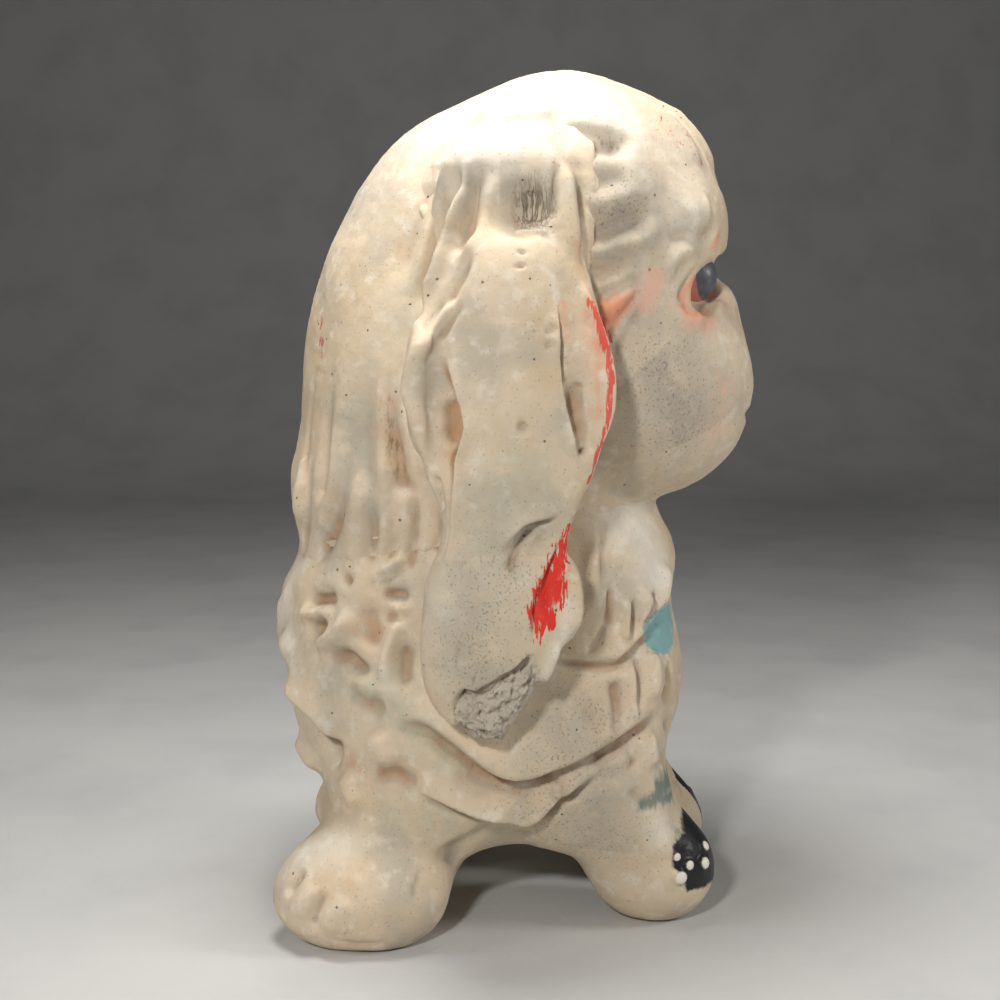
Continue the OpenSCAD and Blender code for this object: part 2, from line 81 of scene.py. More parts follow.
def picture(points):
    """Picture coordinates of points in millimetres."""
    away = points - EYE_POINT
    depth = -(away @ BACK)
    return np.stack([MIDDLE_PX + FOCAL * (away @ RIGHT) / depth, MIDDLE_PX - FOCAL * (away @ UP) / depth], 1)


def picture_ray(px, py):
    """The way the camera looks through a spot of the picture."""
    ray = -BACK + RIGHT * (px - MIDDLE_PX) / FOCAL + UP * (MIDDLE_PX - py) / FOCAL
    return ray / np.linalg.norm(ray)


# Small mathematics


def smooth(low, high, x):
    t = np.clip((x - low) / (high - low), 0.0, 1.0)
    return t * t * (3.0 - 2.0 * t)


def table(rows, x, column):
    """A column of a table of rows, read smoothly at x."""
    rows = np.asarray(rows, float)
    xs = rows[:, 0]
    ys = rows[:, column]
    span = 0.5 * (xs[-1] - xs[0]) / len(xs)
    return sum(np.interp(x + k * span, xs, ys) for k in (-0.8, -0.4, 0.0, 0.4, 0.8)) / 5.0


def cell_noise(i, j, k, seed):
    mixed = (i * 73856093) ^ (j * 19349663) ^ (k * 83492791) ^ (seed * 2654435761)
    mixed = (mixed & 0xFFFFFFFF).astype(np.uint64)
    mixed = ((mixed ^ (mixed >> np.uint64(13))) * np.uint64(1274126177)) & np.uint64(0xFFFFFFFF)
    mixed = mixed ^ (mixed >> np.uint64(16))
    return (mixed & np.uint64(0xFFFFFF)).astype(float) / 0x7FFFFF - 1.0


def noise(points, size, seed=1):
    """Smooth noise from -1 to 1 whose lumps are about one size across."""
    scaled = points / np.asarray(size, float)
    base = np.floor(scaled).astype(np.int64)
    part = scaled - base
    part = part * part * (3.0 - 2.0 * part)
    total = np.zeros(len(points))
    for dx in (0, 1):
        for dy in (0, 1):
            for dz in (0, 1):
                weight = (
                    np.where(dx, part[:, 0], 1 - part[:, 0])
                    * np.where(dy, part[:, 1], 1 - part[:, 1])
                    * np.where(dz, part[:, 2], 1 - part[:, 2])
                )
                total += weight * cell_noise(base[:, 0] + dx, base[:, 1] + dy, base[:, 2] + dz, seed)
    return total


# Clay on a grid


class Clay:
    """A lump of clay: a distance in mm on a regular grid, negative inside."""

    def __init__(self, low, high, step):
        self.low = np.asarray(low, float)
        self.step = step
        count = np.ceil((np.asarray(high, float) - self.low) / step).astype(int) + 1
        self.axes = [self.low[a] + step * np.arange(count[a]) for a in range(3)]
        self.field = np.full(count, FAR, np.float32)

    def window(self, low, high):
        """The cells of a box of the grid and their x, y and z."""
        cuts = []
        for a in range(3):
            first = int(np.clip(np.floor((low[a] - self.low[a]) / self.step), 0, len(self.axes[a])))
            last = int(np.clip(np.ceil((high[a] - self.low[a]) / self.step) + 1, 0, len(self.axes[a])))
            cuts.append(slice(first, last))
        return tuple(cuts), *np.ix_(*(self.axes[a][cuts[a]] for a in range(3)))

    def join(self, cuts, other, soft):
        own = self.field[cuts]
        blend = np.maximum(soft - np.abs(own - other), 0.0) / soft
        self.field[cuts] = np.minimum(own, other) - blend * blend * soft / 4.0

    def carve(self, cuts, other, soft):
        own = self.field[cuts]
        blend = np.maximum(soft - np.abs(own + other), 0.0) / soft
        self.field[cuts] = np.maximum(own, -other) + blend * blend * soft / 4.0

    def ball(self, middle, radii, soft=8.0, turn=0.0, tilt=0.0, cut=False):
        """An ellipsoid, turned about Z and tilted about X, joined on or cut away."""
        radii = np.asarray(radii, float)
        reach = radii.max() + soft + 3.0
        cuts, x, y, z = self.window(np.asarray(middle) - reach, np.asarray(middle) + reach)
        x, y, z = x - middle[0], y - middle[1], z - middle[2]
        c, s = math.cos(math.radians(turn)), math.sin(math.radians(turn))
        x, y = c * x + s * y, c * y - s * x
        c, s = math.cos(math.radians(tilt)), math.sin(math.radians(tilt))
        y, z = c * y + s * z, c * z - s * y
        near = np.sqrt((x / radii[0]) ** 2 + (y / radii[1]) ** 2 + (z / radii[2]) ** 2)
        slope = np.sqrt((x / radii[0] ** 2) ** 2 + (y / radii[1] ** 2) ** 2 + (z / radii[2] ** 2) ** 2)
        distance = near * (near - 1.0) / np.maximum(slope, 1e-6)
        (self.carve if cut else self.join)(cuts, distance, soft)

    def limb(self, start, end, start_r, end_r, soft=8.0, cut=False):
        """A round bar from start to end whose radius changes evenly."""
        start, end = np.asarray(start, float), np.asarray(end, float)
        reach = max(start_r, end_r) + soft + 3.0
        cuts, x, y, z = self.window(np.minimum(start, end) - reach, np.maximum(start, end) + reach)
        way = end - start
        along = ((x - start[0]) * way[0] + (y - start[1]) * way[1] + (z - start[2]) * way[2]) / (way @ way)
        along = np.clip(along, 0.0, 1.0)
        gap = np.sqrt(
            (x - start[0] - along * way[0]) ** 2
            + (y - start[1] - along * way[1]) ** 2
            + (z - start[2] - along * way[2]) ** 2
        )
        (self.carve if cut else self.join)(cuts, gap - start_r - along * (end_r - start_r), soft)

    def keep(self, formula, soft):
        """Keeps only the clay where a formula of x, y and z is negative."""
        self.carve(..., -formula(*np.ix_(*self.axes)), soft)

    def add(self, formula, soft):
        """Joins on what a formula gives as a distance."""
        self.join(..., formula(*np.ix_(*self.axes)), soft)

    def read(self, axes):
        """The field read on another grid."""
        out = self.field
        for a in range(3):
            at = np.clip((axes[a] - self.low[a]) / self.step, 0, out.shape[a] - 1.001)
            base = at.astype(int)
            part = (at - base).reshape([-1 if a == b else 1 for b in range(3)])
            out = np.take(out, base, a) * (1 - part) + np.take(out, base + 1, a) * part
        return out

    def skin(self):
        """Vertices and four-sided faces of the clay's surface."""
        field = self.field
        inside = field < 0.0
        corners = [(i, j, k) for i in (0, 1) for j in (0, 1) for k in (0, 1)]
        shape = tuple(n - 1 for n in field.shape)

        def shifted(grid, corner):
            return grid[tuple(slice(corner[a], corner[a] + shape[a]) for a in range(3))]

        count = sum(shifted(inside, c).astype(np.int8) for c in corners)
        cells = np.argwhere((count > 0) & (count < 8))
        number = np.full(shape, -1, np.int64)
        number[tuple(cells.T)] = np.arange(len(cells))
        place = np.zeros((len(cells), 3))
        crossings = np.zeros(len(cells))
        for c in corners:
            for a in range(3):
                if c[a]:
                    continue
                d = tuple(1 if b == a else c[b] for b in range(3))
                f0 = field[tuple((cells + c).T)]
                f1 = field[tuple((cells + d).T)]
                crosses = (f0 < 0) != (f1 < 0)
                t = np.where(crosses, f0 / np.where(crosses, f0 - f1, 1.0), 0.0)
                spot = np.tile(np.asarray(c, float), (len(cells), 1))
                spot[:, a] = t
                place += np.where(crosses[:, None], spot, 0.0)
                crossings += crosses
        place = self.low + self.step * (cells + place / crossings[:, None])

        faces = []
        for a in range(3):
            b, c = (a + 1) % 3, (a + 2) % 3
            first = [slice(1, -1)] * 3
            first[a] = slice(0, -1)
            second = list(first)
            second[a] = slice(1, None)
            here, there = inside[tuple(first)], inside[tuple(second)]
            edges = np.argwhere(here != there)
            outward = here[tuple(edges.T)]
            base = edges + [0 if n == a else 1 for n in range(3)]

            def cell(db, dc):
                at = base.copy()
                at[:, b] += db
                at[:, c] += dc
                return number[tuple(at.T)]

            quad = np.stack([cell(-1, -1), cell(0, -1), cell(0, 0), cell(-1, 0)], 1)
            quad[~outward] = quad[~outward][:, ::-1]
            faces.append(quad)
        return place, np.concatenate(faces)


def neighbours(faces, count):
    """Pairs of neighbouring vertices, and how many neighbours each vertex has."""
    edges = np.concatenate([faces[:, [k, (k + 1) % 4]] for k in range(4)])
    return edges[:, 0], edges[:, 1], np.bincount(edges[:, 0], minlength=count).astype(float)


def relax(points, faces, rounds):
    """Evens the skin out by moving each vertex towards its neighbours."""
    a, b, weight = neighbours(faces, len(points))
    for _ in range(rounds):
        mean = np.stack([np.bincount(a, points[b, k], len(points)) for k in range(3)], 1) / weight[:, None]
        points = points + 0.5 * (mean - points)
    return points


def normals(points, faces):
    p, q, r, s = (points[faces[:, corner]] for corner in range(4))
    face_normal = np.cross(r - p, s - q)
    total = np.zeros_like(points)
    for corner in range(4):
        for k in range(3):
            total[:, k] += np.bincount(faces[:, corner], face_normal[:, k], len(points))
    return total / np.maximum(np.linalg.norm(total, axis=1), 1e-9)[:, None]


def spread(values, faces, rounds):
    """Blurs one value per vertex over the skin."""
    a, b, weight = neighbours(faces, len(values))
    for _ in range(rounds):
        values = 0.5 * values + 0.5 * np.bincount(a, values[b], len(values)) / weight
    return values


# Tooling the skin

STROKE_BLUR = 1.4
EAR_BLUR = 0.9
RELIEF_GAIN = 1.15
STROKE_REACH = 2.6
# Shares of a path over which a stroke fades out at its two ends
ENDS = (0.25, 0.25)
MANE_ENDS = (0.6, 0.2)
CRACK_ENDS = (0.1, 0.1)
# Half the share of a path over which paint stops
CAP = 1e-3
# Height of a knob as a share of its radius
KNOB_HEIGHT = 0.8


def flowing(path, steps=5):
    """More points on a smooth curve through the given ones, x, y, x, y and so on."""
    path = np.asarray(path, float).reshape(-1, 2)
    if len(path) < 3:
        t = np.linspace(0.0, 1.0, steps + 1)[:, None]
        return path[0] + t * (path[-1] - path[0])
    padded = np.vstack([2 * path[0] - path[1], path, 2 * path[-1] - path[-2]])
    points = []
    for k in range(1, len(padded) - 2):
        a, b, c, d = padded[k - 1 : k + 3]
        for t in np.arange(steps) / steps:
            bend = (2 * a - 5 * b + 4 * c - d) * t**2 + (3 * b - a - 3 * c + d) * t**3
            points.append(0.5 * (2 * b + (c - a) * t + bend))
    points.append(path[-1])
    return np.asarray(points)


class Skin:
    """A meshed piece of clay that takes tool strokes and paint, alike on its left and right.

    A path is a flat row of x, y, x, y and so on, in the picture or, from the front, in mm.
    """

    def __init__(self, clay, rounds=2):
        points, self.faces = clay.skin()
        self.points = relax(points, self.faces, rounds)
        self.masks = {}
        self.ground = [BVHTree.FromPolygons(self.points.tolist(), self.faces.tolist())]
        self.renew()

    def renew(self):
        """Starts a new layer of strokes on the shape as it is now."""
        self.normal = normals(self.points, self.faces)
        self.folded = self.points * [-1, 1, 1]
        right = self.points[:, 0] < 0
        self.folded[right] = self.points[right]
        self.folded_normal = self.normal * np.where(right, 1, -1)[:, None] ** [1, 0, 0]
        self.relief = np.zeros(len(self.points))

    def soften(self, reach):
        """Blurs the strokes made so far over a reach in mm."""
        self.relief = spread(self.relief, self.faces, max(1, round(2.0 * (reach / SKIN_STEP) ** 2)))

    def press(self):
        """Moves the skin by the strokes made so far and marks its hollows."""
        self.points = self.points + self.relief[:, None] * self.normal
        self.ground[0] = BVHTree.FromPolygons(self.points.tolist(), self.faces.tolist())
        self.renew()
        self.masks["hollow"] = self.hollows()

    def cast(self, spot, view):
        """The point of the skin that a spot of the picture or of the front view falls on."""
        if view == "front":
            start, ray = (spot[0], -FRONT_REACH, spot[1]), (0.0, 1.0, 0.0)
        else:
            start, ray = EYE_POINT, picture_ray(*spot)
        hits = [tree.ray_cast(Vector(start), Vector(ray)) for tree in self.ground]
        hits = [hit for hit in hits if hit[0] is not None]
        return np.array(min(hits, key=lambda hit: hit[3])[0]) if hits else None

    def track(self, path, view, reach):
        """Vertices near a path, with their distance, side and place along it."""
        spots = [self.cast(spot, view) for spot in flowing(path)]
        spots = np.asarray([spot for spot in spots if spot is not None])
        if len(spots) < 2:
            return None
        near = np.all((self.folded > spots.min(0) - reach) & (self.folded < spots.max(0) + reach), axis=1)
        index = np.flatnonzero(near)
        points, normal = self.folded[index], self.folded_normal[index]
        best = np.full(len(index), 1e9)
        side = np.zeros(len(index))
        along = np.zeros(len(index))
        for k in range(len(spots) - 1):
            way = spots[k + 1] - spots[k]
            length2 = max(way @ way, 1e-9)
            t = np.clip((points - spots[k]) @ way / length2, 0.0, 1.0)
            gap = points - spots[k] - t[:, None] * way
            distance = np.linalg.norm(gap, axis=1)
            closer = distance < best
            best[closer] = distance[closer]
            left = np.cross(normal[closer], way / math.sqrt(length2))
            side[closer] = np.einsum("ij,ij->i", left, gap[closer])
            along[closer] = (k + t[closer]) / (len(spots) - 1)
        keep = best < reach
        return index[keep], best[keep], np.sign(side[keep]) * best[keep], along[keep]

    def stroke(self, width, height, path, view="side", ends=ENDS, ledge=False):
        """A ridge, a groove where the height is below zero, or a ledge, raised on the left of its path."""
        found = self.track(path, view, width * STROKE_REACH)
        if found is None:
            return
        index, distance, side, along = found
        taper = smooth(0.0, ends[0], along) * smooth(0.0, ends[1], 1.0 - along)
        if ledge:
            lip = smooth(-0.14 * width, 0.16 * width, side)
            rise = lip * np.exp(-((np.maximum(side - 0.1 * width, 0.0) / width) ** 1.5))
            rise = rise - 0.5 * np.exp(-(((side + 0.2 * width) / (0.2 * width)) ** 2))
        else:
            rise = np.exp(-((distance / width) ** 2))
        self.relief[index] += height * RELIEF_GAIN * taper * rise

    def strokes(self, rows, **settings):
        for width, height, *path in rows:
            self.stroke(width, height, path, **settings)

    def paint(self, table):
        """Soft-edged bands of paint: full at their middle, nothing a width away, half past their ends."""
        for name, bands in table.items():
            mask = self.masks.setdefault(name, np.zeros(len(self.points)))
            for width, strength, *path in bands:
                found = self.track(path, "side", width)
                if found is None:
                    continue
                index, distance, _, along = found
                taper = smooth(-CAP, CAP, along) * smooth(-CAP, CAP, 1.0 - along)
                mask[index] = np.maximum(mask[index], strength * taper * (1.0 - distance / width))

    def hollows(self):
        """How far the skin lies in a hollow: 0 where it does not, 1 in a crease."""
        a, b, weight = neighbours(self.faces, len(self.points))
        mean = np.stack([np.bincount(a, self.points[b, k], len(self.points)) for k in range(3)], 1)
        lift = np.einsum("ij,ij->i", mean / weight[:, None] - self.points, normals(self.points, self.faces))
        lift = spread(lift, self.faces, 4)
        wide = spread(lift, self.faces, 30)
        return np.clip((lift * 3.5 + wide * 14.0) / SKIN_STEP, 0.0, 1.0)

    def knob(self, spot, radius):
        """A round drop of white plaster standing on the skin."""
        middle = self.cast(spot, "side")
        if middle is None:
            return
        gap = np.linalg.norm(self.folded - middle, axis=1) / radius
        self.relief += KNOB_HEIGHT * radius * np.sqrt(np.clip(1.0 - gap**2, 0.0, 1.0))
        self.mask("white", np.clip(1.0 - gap, 0.0, 1.0))

    def patch(self, polygon, soft):
        """One inside a picture polygon on the side that faces the camera, fading over its edge."""
        spots = picture(self.folded)
        facing = self.folded_normal @ BACK > -0.15
        corners = np.asarray(polygon, float).reshape(-1, 2)
        gap = np.full(len(spots), 1e9)
        inside = np.zeros(len(spots), bool)
        for start, end in zip(corners, np.roll(corners, -1, axis=0)):
            way = end - start
            t = np.clip((spots - start) @ way / (way @ way), 0.0, 1.0)
            gap = np.minimum(gap, np.linalg.norm(spots - start - t[:, None] * way, axis=1))
            crosses = (start[1] > spots[:, 1]) != (end[1] > spots[:, 1])
            rise = end[1] - start[1] if end[1] != start[1] else 1.0
            inside ^= crosses & (spots[:, 0] < start[0] + (spots[:, 1] - start[1]) * way[0] / rise)
        return np.where(facing, smooth(-soft, soft, np.where(inside, gap, -gap)), 0.0)

    def mask(self, name, values):
        """Adds to a mask that later steers the paint."""
        self.masks[name] = np.maximum(self.masks.get(name, 0.0), values)

    def grain(self, seed):
        """The uneven skin of cast plaster."""
        self.relief += 0.16 * noise(self.points, 3.2, seed) + 0.3 * noise(self.points, 11.0, seed + 1)


def place(name, data):
    """Puts a mesh, lamp or camera into the scene."""
    thing = bpy.data.objects.new(name, data)
    bpy.context.collection.objects.link(thing)
    return thing


def stand_in(name, mesh, masks, material, node):
    """Makes a mesh with its masks the piece that stands for a CAD node."""
    mesh.polygons.foreach_set("use_smooth", np.ones(len(mesh.polygons), dtype=bool))
    for mask_name, values in masks.items():
        layer = mesh.attributes.new(mask_name, "FLOAT", "POINT")
        layer.data.foreach_set("value", values.astype(np.float32))
    mesh.materials.append(material)
    piece = place(name, mesh)
    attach(piece, "root")
    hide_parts(node)


def build(name, skin, material, node, flip=False):
    """Turns a skin into the piece of a CAD node; flip makes it that of the other side."""
    points, faces = skin.points * MM, skin.faces
    if flip:
        points, faces = points * [-1, 1, 1], faces[:, ::-1]
    mesh = bpy.data.meshes.new(name)
    mesh.vertices.add(len(points))
    mesh.vertices.foreach_set("co", points.ravel())
    mesh.loops.add(faces.size)
    mesh.loops.foreach_set("vertex_index", faces.astype(np.int32).ravel())
    mesh.polygons.add(len(faces))
    mesh.polygons.foreach_set("loop_start", np.arange(0, faces.size, 4, dtype=np.int32))
    mesh.polygons.foreach_set("loop_total", np.full(len(faces), 4, dtype=np.int32))
    mesh.update(calc_edges=True)
    mesh.validate()
    stand_in(name, mesh, skin.masks, material, node)


# The figure in clay

NECK_HEIGHT = 156.0
NECK_SLOPE = math.tan(math.radians(10.0))
SEAM_LAP = 9.0
SEAM_INSET = 0.4
BARREL_Y = 14.0
BARREL = (70.0, 77.0)
BARREL_POWER = 2.3
# Height, then share of the barrel's half width
BARREL_ROWS = [
    (39, 0.56), (43, 0.72), (50, 0.81), (60, 0.89), (76, 0.96), (100, 1.0),
    (122, 0.99), (140, 0.975), (156, 0.93), (178, 0.86),
]
BELLY_Z = 39.0
PLUG_R = 22.0
PLUG_TOP = 49.0


def neck_height(y):
    return NECK_HEIGHT - NECK_SLOPE * y


def barrel(x, y, z):
    size = table(BARREL_ROWS, z.ravel(), 1).reshape(z.shape)
    a, b = BARREL[0] * size, BARREL[1] * size
    u, v = np.abs(x) / a, np.abs(y - BARREL_Y) / b
    reach = (u**BARREL_POWER + v**BARREL_POWER) ** (1 / BARREL_POWER)
    slope = np.sqrt((u ** (BARREL_POWER - 1) / a) ** 2 + (v ** (BARREL_POWER - 1) / b) ** 2)
    slope = slope * np.maximum(reach, 0.2) ** (1 - BARREL_POWER)
    return np.maximum((reach - 1.0) / np.maximum(slope, 0.008), -20.0)


def add_body(clay):
    """The barrel of the body on its four legs, cut flat at the soles."""
    clay.add(barrel, 1.0)
    clay.keep(lambda x, y, z: BELLY_Z - z, 8.0)
    clay.keep(lambda x, y, z: z - neck_height(y) - 4.0, 16.0)
    # Breast and throat
    clay.ball((0, -30, 92), (50, 38, 44), 12)
    clay.ball((0, -30, 140), (48, 34, 22), 12)
    for side in (-1, 1):
        # Front leg, hind leg and the flank between them
        clay.limb((side * 31, -31, 60), (side * 27, -51, 25), 29, 20, 14)
        clay.ball((side * 27, -57, 20), (21, 24, 22), 10, turn=side * 14)
        clay.limb((side * 34, 30, 64), (side * 42, 50, 26), 32, 25, 16)
        clay.ball((side * 40, 54, 19), (30, 30, 23), 10)
        clay.ball((side * 57, 57, 17), (22, 33, 22), 10, turn=side * 6)
        clay.limb((side * 34, -16, 48.5), (side * 38, 22, 48.5), 17, 17, 12)
    # Tail, then the hollow between the legs, the soles and the seat of the plug
    clay.limb((0, 84, 122), (0, 80, 90), 9, 9, 10)
    clay.limb((0, 60, 38), (0, -20, 38), 11, 13, 10, cut=True)
    clay.keep(lambda x, y, z: -z, 2.5)
    clay.keep(lambda x, y, z: -np.maximum(np.hypot(x, y - BARREL_Y) - PLUG_R, z - PLUG_TOP), 0.6)


HEAD_MIDDLE = (0.0, -19.0, 252.0)
EYE_R = 15.0
EYE_TURN = 22.0


def eye_middle(side):
    """Middle of an eyeball, from the box of its node: the pupil's dome only adds to its front."""
    low, high = (np.array(corner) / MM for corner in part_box("right_eye" if side < 0 else "left_eye"))
    inner = high[0] if side < 0 else low[0]
    return np.array([inner + side * EYE_R, high[1] - EYE_R, low[2] + EYE_R])


def add_head(clay):
    """Skull, mane, muzzle and brows, with the hollows that the eyes sit in."""
    # Skull, mane, throat, forehead and the back of the skull
    clay.ball(HEAD_MIDDLE, (70, 66, 78.5), 4)
    clay.ball((0, 20, 200), (66, 64, 107), 10)
    clay.ball((0, 34, 166), (62, 54, 40), 14)
    clay.ball((0, -12, 185), (56, 44, 46), 12)
    clay.ball((0, -46, 284), (36, 30.5, 33), 12)
    clay.ball((0, 16, 266), (46, 42, 49), 12)
    for side in (-1, 1):
        # Jowls, cheek and the swelling over the eye
        clay.ball((side * 20, -38, 212), (37, 55, 42), 8)
        clay.ball((side * 18, -52, 199), (32, 37, 32), 8)
        clay.ball((side * 38, -36, 216), (24, 34, 36), 14)
        clay.ball((side * 24, -63, 273), (20, 17.5, 15), 10, turn=side * 14)
    # The hollow over the nose, then the middle of the muzzle
    clay.ball((0, -93, 255), (18, 14, 10), 7, cut=True)
    clay.ball((0, -60, 224), (26, 32, 20), 10)
    for side in (-1, 1):
        # Socket, upper and lower lid and the slit towards the ear
        middle = eye_middle(side)
        clay.ball(middle + [side * 1.0, -7.0, 0.0], (14.5, 12, 12.5), 8, turn=side * EYE_TURN, cut=True)
        clay.ball(middle + [side * 0.5, -0.5, 9.5], (15.5, 13.0, 7.5), 7.0, turn=side * EYE_TURN, tilt=-12)
        clay.ball(middle + [side * 0.5, -0.5, -9.5], (14.5, 12.5, 5.5), 3.0, turn=side * EYE_TURN, tilt=14)
        clay.ball(middle + [side * 22.5, -12.5, -4.5], (18, 7.5, 11.0), 2.0, tilt=25, cut=True)
    # Nose
    clay.ball((0, -79.5, 238), (12, 9.0, 10.0), 6)


def torso_clay():
    clay = Clay((-84, -90, -4), (84, 102, 178), SKIN_STEP)
    add_body(clay)
    add_head(clay)
    clay.keep(lambda x, y, z: z - neck_height(y) - SEAM_LAP, 0.5)
    _, y, z = np.ix_(*clay.axes)
    clay.field += (SEAM_INSET * smooth(0.3, 3.0, z - neck_height(y))).astype(np.float32)
    return clay


def head_clay():
    clay = Clay((-80, -102, 130), (80, 104, 337), SKIN_STEP)
    add_body(clay)
    add_head(clay)
    clay.keep(lambda x, y, z: neck_height(y) - z, 0.5)
    return clay


# Height, place of the rear and the front edge, half thickness and distance from the middle plane
EAR_ROWS = [
    (304, 5.1, -10.0, 3.5, 53), (295, 13.0, -18.5, 6.5, 60.5), (286, 16.0, -22.0, 9.5, 67),
    (274, 19.0, -24.5, 10, 70.5), (262, 22.5, -26.5, 10, 72.5), (254, 24.5, -28.0, 10, 76),
    (243, 26.9, -31.0, 10, 80), (229, 32.1, -34.5, 10, 83), (215, 33.6, -37.2, 10, 85),
    (204, 32.8, -36.2, 10, 86), (194, 30.7, -34.1, 10, 86), (180, 27.6, -30.2, 10, 86),
    (169, 23.0, -24.3, 10, 86), (157, 20.6, -21.1, 10, 86), (142, 25.8, -23.6, 11, 86),
    (133, 27.6, -25.0, 11, 86), (123, 28.3, -21.8, 11, 86), (116, 28.6, -18.0, 11, 86),
    (102, 26.5, -8.5, 10, 86), (94, 20.5, -4.5, 8.5, 86), (87, 10.5, 1.5, 5.0, 86),
]
EAR_LOW = 86.0
EAR_TOP = 306.0


def ear_blade(x, y, z):
    """Distance from a hanging ear on the right of the dog."""
    flat = z.ravel()
    rows = np.asarray(EAR_ROWS[::-1], float)
    rear, front, thick, middle = (table(rows, flat, k).reshape(z.shape) for k in (1, 2, 3, 4))
    half = (rear - front) / 2
    u = np.abs(y - (rear + front) / 2) / half
    v = np.abs(x + middle) / thick
    reach = (u**2.4 + v**2.4) ** (1 / 2.4)
    slope = np.sqrt((u**1.4 / half) ** 2 + (v**1.4 / thick) ** 2) * np.maximum(reach, 0.15) ** -1.4
    side = (reach - 1.0) / np.maximum(slope, 0.02)
    ends = np.maximum(z - EAR_TOP, EAR_LOW - z)
    return np.maximum(np.maximum(side, ends), -8.0)


def at(spot, x):
    """The point of an upright plane, x from the middle, that a spot of the picture falls on."""
    ray = picture_ray(*spot)
    return EYE_POINT + ray * (x - EYE_POINT[0]) / ray[0]


# Swellings of the ear's outer face: spot, distance from the middle plane, radii and blend
EAR_SWELLS = [
    ((512, 166), 64, (10, 18, 6.5), 8),
    ((512, 292), 81, (16, 19, 22), 8),
    ((514, 350), 85, (14, 18, 24), 10),
    ((522, 425), 85, (14, 15.5, 24), 9),
    ((500, 485), 85, (13, 13, 22), 8),
    ((486, 600), 86, (13, 19, 26), 10),
    ((478, 660), 86, (13, 17, 22), 10),
    ((420, 385), 86, (10, 4.5, 22), 5),
    ((569, 600), 86, (8, 4.5, 14), 4),
]
# Hollows of the ear's outer face
EAR_HOLLOWS = [
    ((521, 204), 86, (10.5, 11.5, 11.5), 4),
    ((455, 424), 101, (8, 4.5, 15), 5),
    ((441, 390), 101, (8, 5.0, 12), 5),
    ((580, 392), 101, (9, 4.6, 20), 3),
    ((587, 430), 101, (8, 3.6, 14), 3),
    ((549, 592), 102, (9, 4.6, 16), 3),
]


def ear_clay(head):
    clay = Clay((-104, -46, 78), (-40, 44, 318), EAR_STEP)
    clay.add(ear_blade, 0.5)
    for spot, out, radii, soft in EAR_SWELLS:
        clay.ball(at(spot, -out), radii, soft)
    for spot, out, radii, soft in EAR_HOLLOWS:
        clay.ball(at(spot, -out), radii, soft, cut=True)
    clay.limb((-62, 9, 276), (-70, 19, 200), 9, 6, 10)
    _, y, z = np.ix_(*clay.axes)
    skull = head.read(clay.axes)
    # The ear blends into the skull, widely at its cap and hardly where it hangs free
    web = 1.5 + 17.0 * smooth(258.0, 292.0, z) * (0.4 + 0.6 * smooth(-22.0, -8.0, y))
    web = web + 3.5 * smooth(228.0, 262.0, z) + 5.0 * smooth(200.0, 245.0, z) * smooth(2.0, 12.0, y)
    blend = np.maximum(web - np.abs(clay.field - skull), 0.0)
    union = np.minimum(clay.field, skull) - blend**2 / (4.0 * web)
    # The border of the blend sinks under the skull's skin
    skirt = smooth(0.55, 1.0, clay.field / web)
    union = np.maximum(union + 1.3 * skirt, clay.field - web)
    clay.field = np.maximum(union, -skull - 3.5).astype(np.float32)
    return clay


# A stroke in the tables below: width and height in mm (below zero for a groove), then x, y of each point

